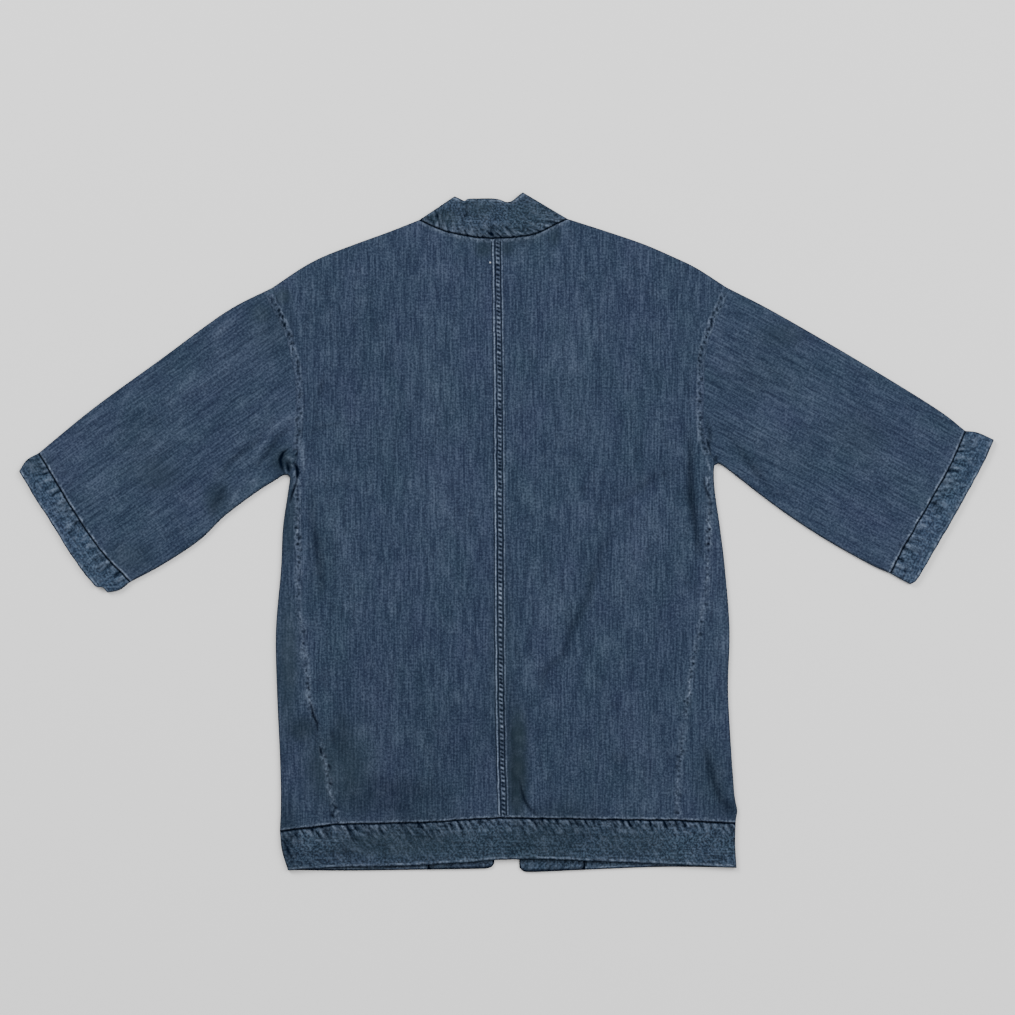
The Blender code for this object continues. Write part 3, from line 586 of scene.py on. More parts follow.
@dataclass
class Relief:
    """Heights of the two sheets of cloth, with their folds and waviness.

    stack is how high the two lie together. Where they turn over at the outline, they are
    rounded over reach, calm over fade and painted with shade within rim, where the rounded edge
    turns down away from the light. wander is how far points drift sideways, and a shade is
    painted shade that darkens the cloth by that share.
    """

    stack: float = 5.0
    reach: float = 3.0
    fade: float = 12.0
    rim: float = 1.2
    rim_shade: float = 0.75
    wander: float = 0.42
    broad_height: float = 0.22
    crumple_height: float = 0.16
    fine_height: float = 0.05
    hidden_share: float = 0.5
    hidden_shift: float = 40.0
    turned_share: float = 0.6
    fold_shade: float = 0.05
    crease_end: float = 0.25
    outline: list = field(default_factory=lambda: Cut().outline())
    broad: Ripple = Ripple(3, (46.0, 78.0))
    crumple: Ripple = Ripple(8, (15.0, 22.0))
    fine: Ripple = Ripple(21, (6.0, 8.0))
    sideways: Ripple = Ripple(33, (11.0, 9.0))
    lengthways: Ripple = Ripple(34, (9.0, 11.0))

    def outline_distance(self, points: Array) -> Array:
        """Distance of each point from the nearest folded outline, where that is near."""
        far = self.reach + self.fade + 1.0
        nearest = np.full(len(points), far)
        for run in self.outline:
            low, high = run.min(axis=0) - far, run.max(axis=0) + far
            near = np.flatnonzero(((points > low) & (points < high)).all(axis=1))
            if near.size:
                nearest[near] = np.minimum(nearest[near], path_place(points[near], run)[0])
        return np.where(nearest < 0.05, 0.0, nearest)

    def folds(self, points: Array) -> tuple[Array, Array]:
        """Height and dark share that the listed folds and creases add.

        Args:
            points: x, y of each point.

        Returns:
            Heights in millimetres, and dark shares of painted shade in troughs and creases, below
            0 where a ridge or crease is painted paler as a highlight.
        """
        height, shade = np.zeros(len(points)), np.zeros(len(points))
        for x0, y0, x1, y1, half_width, lift in FOLDS:
            gap, _ = path_place(points, np.array(((x0, y0), (x1, y1))))
            swell = lift * bell(gap / half_width)
            height += swell
            # Painted shade in a fold's trough, and a painted highlight on its ridge
            shade -= self.fold_shade * swell
        for path, half_width, lift, dark in CREASES:
            gap, share = path_place(points, np.array(path))
            middle = np.sin(math.pi * clipped(share)) ** 0.7
            taper = self.crease_end + (1.0 - self.crease_end) * middle
            swell = taper * bell(gap / (half_width * (1.0 + taper) / 2))
            height += lift * swell
            # A crease's dark share is painted shade, and below 0 a painted highlight
            shade += dark * swell
        return height, shade

    def waviness(self, points: Array) -> Array:
        """Height that the cloth's slight crumple adds."""
        return (self.broad_height * self.broad.at(points)
                + self.crumple_height * self.crumple.at(points)
                + self.fine_height * self.fine.at(points))

    def lift(self, points: Array, upper: bool, rise: float,
             relief: Array) -> tuple[Array, Array, Array]:
        """Lay plan points on one sheet.

        Args:
            points: x, y of each point.
            upper: whether they are on the upper sheet.
            rise: how far a doubled band stands above a single panel.
            relief: height of seams and puckers at each point, outward.

        Returns:
            The points in space, the painted shade of their folds and creases (below 0 a painted
            highlight), and the painted shade along the folded outline, by their closeness to it.
        """
        outline = self.outline_distance(points)
        inside = 1.0 - clipped(outline / self.reach)
        arc = np.sqrt(1.0 - inside ** 2)
        calm = clipped((outline - self.reach) / self.fade)
        middle = self.stack / 2
        # Painted shade along the outline, where the rounded edge turns down away from the light
        edge = self.rim_shade * bell(outline / self.rim)
        if not upper:
            # The hidden side has its own waviness: the upper one's, mirrored and moved
            hidden = points * np.array((-1.0, 1.0)) + self.hidden_shift
            soft = self.hidden_share * self.waviness(hidden) * calm + relief * arc
            height = np.maximum(middle * (1.0 - arc) - soft, 0.0)
            return np.column_stack([points, height]), np.zeros(len(points)), edge
        folds, shade = self.folds(points)
        turned = self.turned_share * (1.0 - inside)
        soft = folds * np.maximum(calm, turned) + self.waviness(points) * calm
        height = middle + (middle + rise) * arc + soft + relief * arc
        drift = np.column_stack([self.sideways.at(points), self.lengthways.at(points)])
        place = points + self.wander * drift * calm[:, None]
        return np.column_stack([place, np.maximum(height, middle)]), shade, edge


@dataclass(frozen=True)
class Gathers:
    """Uneven little ridges that a row of stitches draws up across a seam.

    pitch is their usual spacing, reach their length from the seam, and slant how far they lean
    along the seam for each millimetre away from it. width is a share of the pitch, and
    hollow_place says how many widths beside its ridge a hollow lies.
    """

    pitch: float
    reach: float
    slant: float = 0.6
    spread: float = 0.45
    weakest: float = 0.15
    seed: int = 5
    lengths: tuple[float, float] = (0.45, 1.35)
    lean: float = 0.35
    width: float = 0.26
    widths: tuple[float, float] = (0.7, 1.3)
    hollow_place: float = 1.7

    def ridges(self, gap: Array, along: Array) -> tuple[Array, Array]:
        """How far each point is on a ridge, and how far in the hollow beside one.

        Args:
            gap: distance from the seam.
            along: distance along the seam.

        Returns:
            Two arrays of shares from 0 to about 1.
        """
        chance = np.random.default_rng(self.seed)
        count = int((along.max() + gap.max() * self.slant) / self.pitch) + 12
        steps = self.pitch * chance.uniform(1 - self.spread, 1 + self.spread, count)
        crest = np.cumsum(steps) - 5 * self.pitch
        strength = chance.uniform(self.weakest, 1.0, count)
        length = self.reach * chance.uniform(*self.lengths, count)
        lean = chance.uniform(-self.lean, self.lean, count)
        width = self.width * self.pitch * chance.uniform(*self.widths, count)
        place = along + self.slant * gap
        ridge, hollow = np.zeros(gap.shape), np.zeros(gap.shape)
        for k in beside(crest, place, (-2, -1, 0, 1)):
            offset = (place + lean[k] * gap - crest[k]) / width[k]
            fade = strength[k] * bell(gap / length[k])
            ridge += fade * bell(offset)
            hollow += fade * bell(offset - self.hollow_place)
        return ridge, hollow


@dataclass(frozen=True)
class Hatch:
    """Puckers beside a seam that are so small that the material draws them.

    pitch is their spacing along the seam, length their length away from it, slant how far they
    lean along the seam for each millimetre away from it, and reach how far out they go.
    """

    pitch: float = 2.2
    length: float = 3.5
    slant: float = 0.0
    strength: float = 0.0
    reach: float = 4.0
    everywhere: float = 0.0

    def layer(self, gap: Array, along: Array) -> Array:
        """Place in the pattern and its strength at each point, on a last axis of 3."""
        share = self.strength * bell(gap / self.reach) + self.everywhere
        return np.stack([(along + self.slant * gap) / self.pitch, gap / self.length, share],
                        axis=-1)


@dataclass(frozen=True)
class SeamSide:
    """How cloth lies beside a seam or along a finished edge.

    It dips into a groove at the seam, painted dark as shade, and has a worn lip beside it. The
    ridges and hollows of the gathers run out from there, with painted shade in the hollows. fleck
    is the size of the lip's uneven wear.
    """

    gathers: Gathers
    hatch: Hatch = Hatch()
    pucker: float = 0.3
    dip: float = 1.1
    dip_width: float = 1.0
    lip: float = 0.2
    lip_place: float = 2.6
    lip_width: float = 0.85
    lip_wear: float = 0.6
    ridge_wear: float = 0.45
    hollow_shade: float = 0.4
    hollow_depth: float = 0.7
    groove_shade: float = 1.0
    fleck: float = 4.0

    def shape(self, gap: Array, along: Array) -> tuple[Array, ...]:
        """Relief, wear and painted shade of cloth beside a seam.

        Args:
            gap: distance from the seam.
            along: distance along the seam.

        Returns:
            The outward relief in millimetres, the wear, and the painted shade of the groove and
            the hollows, as shares of 1.
        """
        ridge, hollow = self.gathers.ridges(gap, along)
        start = clipped(gap / (1.5 * self.dip_width))
        groove = bell(gap / self.dip_width)
        lip = bell((gap - self.lip_place) / self.lip_width)
        flecks = 0.6 * (1.0 + swings(self.gathers.seed + 3, self.fleck, along))
        relief = (self.pucker * (ridge - self.hollow_depth * hollow) * start
                  + self.lip * lip * flecks - self.dip * groove)
        wear = self.ridge_wear * ridge * start + self.lip_wear * lip * flecks
        # Painted shade in the seam's groove and in the gathers' hollows
        dark = self.groove_shade * groove + self.hollow_shade * hollow * start
        return relief, wear, dark


BODY_SIDE = SeamSide(Gathers(pitch=6.0, reach=5.0, slant=0.7, seed=11),
                     Hatch(pitch=2.6, length=3.5, slant=0.7, strength=0.8, reach=4.5),
                     pucker=0.2, lip_place=2.4, lip_wear=0.5, ridge_wear=0.4,
                     hollow_shade=0.5)
BAND_SIDE = SeamSide(Gathers(pitch=7.8, reach=13.0, slant=-0.55, spread=0.6, seed=17),
                     Hatch(pitch=4.4, length=9.0, slant=-0.55, strength=0.85, reach=13.0,
                           everywhere=0.36),
                     pucker=0.4, lip_place=2.3, lip_wear=0.3, ridge_wear=0.3,
                     hollow_shade=0.85)
NECK_SIDE = SeamSide(Gathers(pitch=6.6, reach=13.0, slant=0.85, spread=0.6, weakest=0.1,
                             seed=31),
                     Hatch(pitch=4.6, length=10.0, slant=0.85, strength=0.75, reach=14.0,
                           everywhere=0.36),
                     pucker=0.4, lip_place=2.3, lip_wear=0.3, ridge_wear=0.42,
                     hollow_shade=0.78)
CUFF_SIDE = SeamSide(Gathers(pitch=10.0, reach=17.0, slant=0.12, spread=0.65, weakest=0.1,
                             seed=23),
                     Hatch(pitch=4.6, length=11.0, slant=0.15, strength=0.7, reach=18.0,
                           everywhere=0.34),
                     pucker=0.45, dip_width=0.85, lip_place=2.1, lip_wear=0.34,
                     ridge_wear=0.36, hollow_shade=0.62)
SLEEVE_END = SeamSide(Gathers(pitch=6.0, reach=4.0, slant=0.4, seed=29),
                      Hatch(pitch=2.8, length=4.0, slant=0.4, strength=0.5, reach=5.0),
                      pucker=0.14, dip_width=0.8, lip=0.3, lip_place=2.2, lip_wear=0.8,
                      ridge_wear=0.2)
PLAIN = SeamSide(Gathers(pitch=9.0, reach=1.0), pucker=0.0, dip=0.2, dip_width=0.8, lip=0.0,
                 lip_wear=0.0, ridge_wear=0.0, hollow_shade=0.0, groove_shade=0.2)
FREE_EDGE = SeamSide(Gathers(pitch=10.0, reach=5.0, seed=41), pucker=0.1, dip=0.6,
                     dip_width=0.9, lip=0.0, lip_place=2.5, lip_width=0.9, lip_wear=0.5,
                     ridge_wear=0.2, hollow_shade=0.2)


@dataclass
class ClothGrid:
    """One sheet of a piece: a grid of points with their relief and wear.

    rise is how far the sheet lies above a single panel, grain the angle of its warp from +Y in
    degrees, and crest_highlight how much paler the highest crumples are painted, as a painted
    highlight. wear also carries painted highlights, and groove carries painted shade.
    """

    plan: Array
    upper: bool
    rise: float = 0.0
    grain: float = 0.0
    crest_highlight: float = 0.05
    relief: Array = field(init=False)
    wear: Array = field(init=False)
    groove: Array = field(init=False)
    hatch: Array = field(init=False)

    def __post_init__(self) -> None:
        """Start with plain cloth."""
        self.relief, self.wear, self.groove = np.zeros((3, *self.plan.shape[:2]))
        self.hatch = np.zeros((*self.plan.shape[:2], 3))

    def edge_frame(self, edge: Edge) -> tuple[Array, Array]:
        """Distance of each grid point from an edge, and distance along that edge."""
        across = edge in (Edge.BOTTOM, Edge.TOP)
        first = edge in (Edge.BOTTOM, Edge.START)
        rim = self.plan[0 if first else -1] if across else self.plan[:, 0 if first else -1]
        along = travelled(rim)
        rim, along = (rim[None], along[None]) if across else (rim[:, None], along[:, None])
        gap = np.linalg.norm(self.plan - rim, axis=2)
        return gap, np.broadcast_to(along, gap.shape)

    def sew(self, edge: Edge, style: SeamSide, columns: slice = slice(None)) -> "ClothGrid":
        """Shape the cloth beside one edge, or beside some columns of it."""
        part = self if columns == slice(None) else ClothGrid(self.plan[:, columns], self.upper)
        frame = part.edge_frame(edge)
        relief, wear, groove = style.shape(*frame)
        self.relief[:, columns] += relief
        self.wear[:, columns] = np.maximum(self.wear[:, columns], wear)
        self.groove[:, columns] = np.maximum(self.groove[:, columns], groove)
        hatch = style.hatch.layer(*frame)
        stronger = hatch[..., 2:] > self.hatch[:, columns, 2:]
        self.hatch[:, columns] = np.where(stronger, hatch, self.hatch[:, columns])
        return self

    def points(self, relief: Relief) -> Array:
        """The grid's points in millimetres, with the painted shade and highlights of its folds,
        creases and outline taken along.
        """
        flat = self.plan.reshape(-1, 2)
        spots, shade, edge = relief.lift(flat, self.upper, self.rise, self.relief.reshape(-1))
        shade = shade.reshape(self.wear.shape)
        crumple = relief.crumple.at(flat) + relief.fine.at(flat)
        crests = np.clip(crumple, 0.0, 2.0).reshape(shade.shape)
        # Painted highlights on fold ridges, pale creases and the highest crumples join the wear
        self.wear = self.wear + clipped(-shade) + self.crest_highlight * crests
        # Painted shade in troughs, creases and along the outline joins the groove
        self.groove = np.maximum(self.groove, clipped(shade))
        self.groove = np.maximum(self.groove, edge.reshape(shade.shape))
        return spots

    def warp_map(self) -> Array:
        """Metres across and along the warp at each grid point."""
        turn = math.radians(self.grain)
        flip = 1.0 if self.upper else -1.0
        x, y = self.plan[..., 0] * MM, self.plan[..., 1] * MM
        across = flip * (x * math.cos(turn) + y * math.sin(turn))
        return np.stack([across, y * math.cos(turn) - x * math.sin(turn)], axis=-1)

    def tone(self) -> Array:
        """Wear with painted highlights, painted shade with the darker wash, green wash and hatch
        strength at each grid point.
        """
        flat = self.plan.reshape(-1, 2)
        green, dark, pale = np.zeros((3, len(flat)))
        # A patch's dark share is partly darker wash and partly painted shade, and below 0 mostly
        # painted light
        for x, y, half_width, half_height, green_share, dark_share in WASH_AND_SHADING_PATCHES:
            offset = (flat - np.array((x, y))) / np.array((half_width, half_height))
            patch = bell(np.linalg.norm(offset, axis=1), 3)
            green = np.maximum(green, green_share * patch)
            dark = np.maximum(dark, dark_share * patch)
            pale = np.maximum(pale, -dark_share * patch)
        groove = self.groove.reshape(-1)
        groove = groove + dark * clipped(1.0 - groove)
        wear = self.wear.reshape(-1) + pale
        layers = [wear, groove, green, self.hatch[..., 2].reshape(-1)]
        return clipped(np.column_stack(layers))


def loft(bottom: Array, top: Array, start: Array, end: Array) -> Array:
    """Fill four lines of stations with a grid.

    Args:
        bottom: the first row.
        top: the last row.
        start: the first column.
        end: the last column.

    Returns:
        Plan points as rows x columns x 2.
    """

    def share(first: Array, second: Array) -> Array:
        """How far along each station lies, as the mean of two lines."""
        marks = [travelled(run) / travelled(run)[-1] for run in (first, second)]
        return (marks[0] + marks[1]) / 2

    u = share(bottom, top)[None, :, None]
    v = share(start, end)[:, None, None]
    sides = start[:, None] * (1 - u) + end[:, None] * u
    ends = bottom[None] * (1 - v) + top[None] * v
    corners = ((bottom[0] * (1 - u) + bottom[-1] * u) * (1 - v)
               + (top[0] * (1 - u) + top[-1] * u) * v)
    return sides + ends - corners


def new_material(name: str) -> tuple[bpy.types.Material, bpy.types.Node]:
    """A new material with nodes, and its shader."""
    material = bpy.data.materials.new(name)
    material.use_nodes = True
    return material, material.node_tree.nodes["Principled BSDF"]


@dataclass(frozen=True)
class Yarn:
    """One kind of unevenness of the cloth, as noise whose grains follow the warp.

    width and length are a grain's size across and along the warp in millimetres. shade, height
    and fray are its shares in the cloth's colour, in its surface and in how it wears.
    """

    width: float
    length: float
    shade: float
    height: float = 0.0
    fray: float = 0.0

    def noise(self, tree: Tree, cloth: Socket) -> Socket:
        """The noise, laid out on the cloth's warp map."""
        scale = (1 / (self.width * MM), 1 / (self.length * MM), 1.0)
        place = add_node(tree, "ShaderNodeMapping",
                         {"Vector": cloth, "Scale": scale,
                          "Location": (self.width, self.length, 0.0)}).outputs[0]
        return add_node(tree, "ShaderNodeTexNoise",
                        {"Vector": place, "Scale": 1.0, "Detail": 2.5, "Roughness": 0.6},
                        noise_dimensions="2D").outputs[0]


@dataclass(frozen=True)
class DenimFinish:
    """Washed indigo cotton twill, woven with slubby warp yarn and worn at its seams.

    The warp's uneven yarns give streaks along the cloth, the wash leaves paler crests, and the
    brushed cotton fibres give a faint sheen at low angles.
    """

    name: str
    deep: str = "111E34"
    mid: str = "233044"
    pale: str = "394558"
    # worn is the pale of real wear and of painted highlights; groove is the near-black of painted
    # shade and of the darker wash
    worn: str = "7C8A9F"
    greenish: str = "1A2A33"
    groove: str = "030A18"
    streak_contrast: float = 1.0
    grain_contrast: float = 1.0
    slubs: Yarn = Yarn(2.0, 38.0, shade=1.25, height=0.5, fray=0.5)
    streaks: Yarn = Yarn(6.5, 80.0, shade=0.52)
    fibres: Yarn = Yarn(2.5, 2.5, shade=1.6, height=0.9, fray=1.3)
    weft: Yarn = Yarn(14.0, 2.2, shade=0.36, height=0.25)
    clouds: Yarn = Yarn(60.0, 110.0, shade=0.14)
    twill_pitch: float = 1.5
    twill_angle: float = 27.0
    twill_shade: float = 0.1
    twill_height: float = 0.5
    pale_from: float = 0.88
    deep_below: float = 0.12
    hue_swing: float = 0.04
    wash_strength: float = 1.5
    wear_strength: float = 1.5
    pucker_wear: float = 0.25
    pucker_shade: float = 0.6
    pucker_height: float = 2.0
    bump: float = 0.55
    bump_depth: float = 0.35
    roughness: float = 0.86
    sheen: float = 0.08
    sheen_roughness: float = 0.55
    glint: float = 0.16

    def make(self) -> bpy.types.Material:
        """Build the material."""
        material, shader = new_material(self.name)
        tree = material.node_tree
        cloth = add_node(tree, "ShaderNodeUVMap", uv_map="warp").outputs[0]
        tone = add_node(tree, "ShaderNodeVertexColor", layer_name="tone").outputs
        wear, groove, wash = add_node(tree, "ShaderNodeSeparateColor",
                                      {"Color": tone["Color"]}).outputs
        yarns = (self.slubs, self.streaks, self.fibres, self.weft, self.clouds)
        noises = [yarn.noise(tree, cloth) for yarn in yarns]
        cloud, twill = noises[-1], self.twill(tree, cloth)
        shadow, crest, swell = self.puckers(tree, tone["Alpha"])
        contrasts = (self.streak_contrast, self.streak_contrast, self.grain_contrast, 1.0, 1.0)
        level = self.blend(tree, [*zip(noises, [yarn.shade * contrast for yarn, contrast
                                                in zip(yarns, contrasts)]),
                                  (twill, self.twill_shade)])
        fray = self.blend(tree, zip(noises, [yarn.fray for yarn in yarns]))
        height = self.blend(tree, [*zip(noises, [yarn.height for yarn in yarns]),
                                   (twill, self.twill_height)])
        colour = self.dye(tree, level, cloud)
        patchy = add_node(tree, MATH, {0: wash, 1: cloud}, operation="MULTIPLY").outputs[0]
        patchy = add_node(tree, MATH, {0: patchy, 1: self.wash_strength}, operation="MULTIPLY",
                          use_clamp=True).outputs[0]
        worn = add_node(tree, MATH, {0: wear, 1: fray}, operation="MULTIPLY").outputs[0]
        worn = add_node(tree, MATH, {0: worn, 1: self.wear_strength},
                        operation="MULTIPLY").outputs[0]
        worn = add_node(tree, MATH, {0: crest, 1: self.pucker_wear, 2: worn},
                        operation="MULTIPLY_ADD", use_clamp=True).outputs[0]
        # The puckers' painted shadows join the painted shade
        groove = add_node(tree, MATH, {0: shadow, 1: self.pucker_shade, 2: groove},
                          operation="MULTIPLY_ADD", use_clamp=True).outputs[0]
        # The worn colour goes on real wear and on painted highlights, and the groove colour on
        # painted shade in grooves, hollows, pits, creases and along the outline, and on the
        # darker wash
        # Inputs 6 and 7 of a mix node are its colours, and output 2 is their mix
        for share, code in ((patchy, self.greenish), (worn, self.worn), (groove, self.groove)):
            colour = add_node(tree, "ShaderNodeMix", {0: share, 6: colour, 7: hex_colour(code)},
                              data_type="RGBA").outputs[2]
        tree.links.new(colour, shader.inputs["Base Color"])
        height = add_node(tree, MATH, {0: swell, 1: self.pucker_height, 2: height},
                          operation="MULTIPLY_ADD").outputs[0]
        self.surface(tree, shader, height, groove)
        return material

    def dye(self, tree: Tree, level: Socket, cloud: Socket) -> Socket:
        """The indigo, from deep to pale by its level."""
        ramp = add_node(tree, "ShaderNodeValToRGB", {"Fac": level})
        stops = ramp.color_ramp.elements
        stops[0].position, stops[0].color = self.deep_below, hex_colour(self.deep)
        stops[1].position, stops[1].color = self.pale_from, hex_colour(self.pale)
        stops.new(0.5).color = hex_colour(self.mid)
        # The wash leaves the indigo a little bluer here and greener there
        hue = add_node(tree, MATH, {0: cloud, 1: self.hue_swing, 2: 0.5 - self.hue_swing / 2},
                       operation="MULTIPLY_ADD").outputs[0]
        return add_node(tree, "ShaderNodeHueSaturation",
                        {"Hue": hue, "Color": ramp.outputs["Color"]}).outputs[0]

    def surface(self, tree: Tree, shader: bpy.types.Node, height: Socket, groove: Socket) -> None:
        """Set the cloth's relief, roughness and sheen."""
        bump = add_node(tree, "ShaderNodeBump", {"Height": height, "Strength": self.bump,
                                                 "Distance": self.bump_depth * MM})
        tree.links.new(bump.outputs["Normal"], shader.inputs["Normal"])
        shader.inputs["Roughness"].default_value = self.roughness
        shader.inputs["Sheen Roughness"].default_value = self.sheen_roughness
        # Light doesn't reach the fibres inside a groove, so it has no sheen or glint
        open_cloth = add_node(tree, MATH, {0: 1.0, 1: groove}, operation="SUBTRACT",
                              use_clamp=True).outputs[0]
        for name, strength in (("Sheen Weight", self.sheen), ("Specular IOR Level", self.glint)):
            # The plain value stays in the socket for exports that can't follow the link
            shader.inputs[name].default_value = strength
            share = add_node(tree, MATH, {0: open_cloth, 1: strength}, operation="MULTIPLY")
            tree.links.new(share.outputs[0], shader.inputs[name])

    @staticmethod
    def puckers(tree: Tree, strength: Socket) -> list[Socket]:
        """Fine puckers beside seams: their painted shadows, their worn crests and their height.
        """
        place = add_node(tree, "ShaderNodeUVMap", uv_map="seam").outputs[0]
        wave = add_node(tree, "ShaderNodeTexNoise",
                        {"Vector": place, "Scale": 1.0, "Detail": 1.5, "Roughness": 0.5},
                        noise_dimensions="2D").outputs[0]
        parts = []
        # Slope, start and clamp of each: below 0.47, above 0.53, and about the middle
        for slope, start, clamp in ((-5.0, 2.35, True), (5.0, -2.65, True), (1.0, -0.5, False)):
            part = add_node(tree, MATH, {0: wave, 1: slope, 2: start}, operation="MULTIPLY_ADD",
                            use_clamp=clamp).outputs[0]
            parts.append(add_node(tree, MATH, {0: part, 1: strength},
                                  operation="MULTIPLY").outputs[0])
        return parts

    def twill(self, tree: Tree, cloth: Socket) -> Socket:
        """Diagonal twill lines. Real ones are 0.7 mm apart; these are coarser, so they show."""
        scale = 1 / (self.twill_pitch * MM)
        place = add_node(tree, "ShaderNodeMapping",
                         {"Vector": cloth, "Scale": (scale, scale, 1.0),
                          "Rotation": (0.0, 0.0, math.radians(self.twill_angle))}).outputs[0]
        return add_node(tree, "ShaderNodeTexWave",
                        {"Vector": place, "Scale": 1.0 / math.pi, "Distortion": 1.2,
                         "Detail": 1.0, "Detail Scale": 0.6},
                        wave_type="BANDS", bands_direction="X").outputs["Fac"]

    @staticmethod
    def blend(tree: Tree, parts: Iterable[tuple]) -> Socket:
        """Add patterns about their middle: 0.5 plus each pattern's swing times its share."""
        total: object = 0.5
        for pattern, share in parts:
            if share:
                swing = add_node(tree, MATH, {0: pattern, 1: share, 2: -share / 2},
                                 operation="MULTIPLY_ADD").outputs[0]
                total = add_node(tree, MATH, {0: total, 1: swing}, operation="ADD").outputs[0]
        return total


@dataclass(frozen=True)
class ThreadFinish:
    """Core-spun polyester thread: smoother than the cloth, so each stitch glints a little."""

    name: str
    colour: str
    roughness: float = 0.55
    ply: float = 0.25
    highlight: float = 1.7
    bump: float = 0.4
    bump_depth: float = 0.1

    def make(self) -> bpy.types.Material:
        """Build the material. ply is how far apart its twisted plies show."""
        material, shader = new_material(self.name)
        tree = material.node_tree
        place = add_node(tree, "ShaderNodeTexCoord").outputs["Object"]
        noise = add_node(tree, "ShaderNodeTexNoise", {"Vector": place, "Detail": 1.0,
                                                      "Scale": 1 / (self.ply * MM)}).outputs[0]
        base = hex_colour(self.colour)
        # The lighter colour that the noise mixes in is a painted highlight on the twisted plies
        light = tuple(min(1.0, part * self.highlight) for part in base[:3]) + (1.0,)
        shade = add_node(tree, "ShaderNodeMix", {0: noise, 6: base, 7: light}, data_type="RGBA")
        tree.links.new(shade.outputs[2], shader.inputs["Base Color"])
        bump = add_node(tree, "ShaderNodeBump", {"Height": noise, "Strength": self.bump,
                                                 "Distance": self.bump_depth * MM})
        tree.links.new(bump.outputs["Normal"], shader.inputs["Normal"])
        shader.inputs["Roughness"].default_value = self.roughness
        return material


def new_object(name: str, data: bpy.types.ID) -> bpy.types.Object:
    """Put mesh, light or camera data into the scene as an object."""
    piece = bpy.data.objects.new(name, data)
    bpy.context.scene.collection.objects.link(piece)
    return piece


def select_only(*pieces: bpy.types.Object) -> None:
    """Select these objects alone, with the first one active."""
    bpy.ops.object.select_all(action="DESELECT")
    for piece in pieces:
        piece.select_set(True)
    bpy.context.view_layer.objects.active = pieces[0]


def edit_all(operator: Callable, **settings: object) -> None:
    """Run an edit operator on the whole mesh of the active object."""
    bpy.ops.object.mode_set(mode="EDIT")
    bpy.ops.mesh.select_all(action="SELECT")
    operator(**settings)
    bpy.ops.object.mode_set(mode="OBJECT")


def cloth_sheet(grid: ClothGrid, relief: Relief) -> bpy.types.Object:
    """Model one sheet: a plane grid whose points are laid on the garment's form.

    Args:
        grid: the sheet's points, relief and wear.
        relief: the heights of the garment.

    Returns:
        The sheet, an open surface with its outer face outward.
    """
    rows, columns = grid.plan.shape[:2]
    bpy.ops.object.select_all(action="DESELECT")
    bpy.ops.mesh.primitive_grid_add(x_subdivisions=columns - 1, y_subdivisions=rows - 1,
                                    size=1.0, calc_uvs=False)
    sheet = bpy.context.object
    mesh = sheet.data
    mesh.vertices.foreach_set("co", (grid.points(relief) * MM).ravel())
    owners = np.empty(len(mesh.loops), dtype=np.int32)
    mesh.loops.foreach_get("vertex_index", owners)
    for name, places in (("warp", grid.warp_map()), ("seam", grid.hatch[..., :2])):
        layer = mesh.uv_layers.new(name=name)
        layer.data.foreach_set("uv", places.reshape(-1, 2)[owners].ravel())
    tone = mesh.color_attributes.new("tone", "FLOAT_COLOR", "POINT")
    tone.data.foreach_set("color", grid.tone().ravel())
    side, climb = grid.plan[0, -1] - grid.plan[0, 0], grid.plan[-1, 0] - grid.plan[0, 0]
    faces_up = side[0] * climb[1] - side[1] * climb[0] > 0
    if faces_up != grid.upper:
        edit_all(bpy.ops.mesh.flip_normals)
    return sheet


@dataclass
class ClothPiece:
    """A cut piece of denim: its sheets are joined along their folds and given a wall."""

    name: str
    grids: list[ClothGrid]
    wall: float
    relief: Relief
    seam_merge: float = 0.03

    def build(self) -> bpy.types.Object:
        """Model the piece."""
        sheets = [cloth_sheet(grid, self.relief) for grid in self.grids]
        select_only(*sheets)
        if len(sheets) > 1:
            bpy.ops.object.join()
            edit_all(bpy.ops.mesh.remove_doubles, threshold=self.seam_merge * MM)
        piece = bpy.context.object
        piece.name = piece.data.name = self.name
        wall = piece.modifiers.new("Cloth wall", "SOLIDIFY")
        wall.thickness = self.wall * MM
        wall.offset = -1.0
        bpy.ops.object.modifier_apply(modifier=wall.name)
        bpy.ops.object.shade_smooth()
        LOG.info("%s: %d faces", self.name, len(piece.data.polygons))
        return piece


@dataclass
class Dresser:
    """Puts finished pieces on the frame, with their material."""

    relief: Relief
    materials: dict = field(default_factory=dict)

    def dress(self, piece: bpy.types.Object, finish: DenimFinish | ThreadFinish, slot: str,
              node: str | None = None) -> None:
        """Give a piece its finish and tie it to the frame.

        Args:
            piece: the finished object.
            finish: its finish, which makes the material once.
            slot: the record's material slot; not used.
            node: the solid that the piece stands for.
        """
        if finish.name not in self.materials:
            self.materials[finish.name] = finish.make()
        piece.data.materials.clear()
        piece.data.materials.append(self.materials[finish.name])
        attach(piece, BODY)
        if node:
            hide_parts(node)

    def cloth(self, node: str, grids: list[ClothGrid], wall: float, finish: DenimFinish,
              slot: str, flat: tuple[float, float], area: float, rests_on: list[str]) -> None:
        """Build a cut piece of cloth that stands for a solid."""
        piece = ClothPiece(node + "_cloth", grids, wall, self.relief).build()
        self.dress(piece, finish, slot, node)


@dataclass
class Maker:
    """Makes some parts of the garment from its cut."""

    dresser: Dresser
    cut: Cut

    def build(self) -> None:
        """Make the parts."""
        raise NotImplementedError


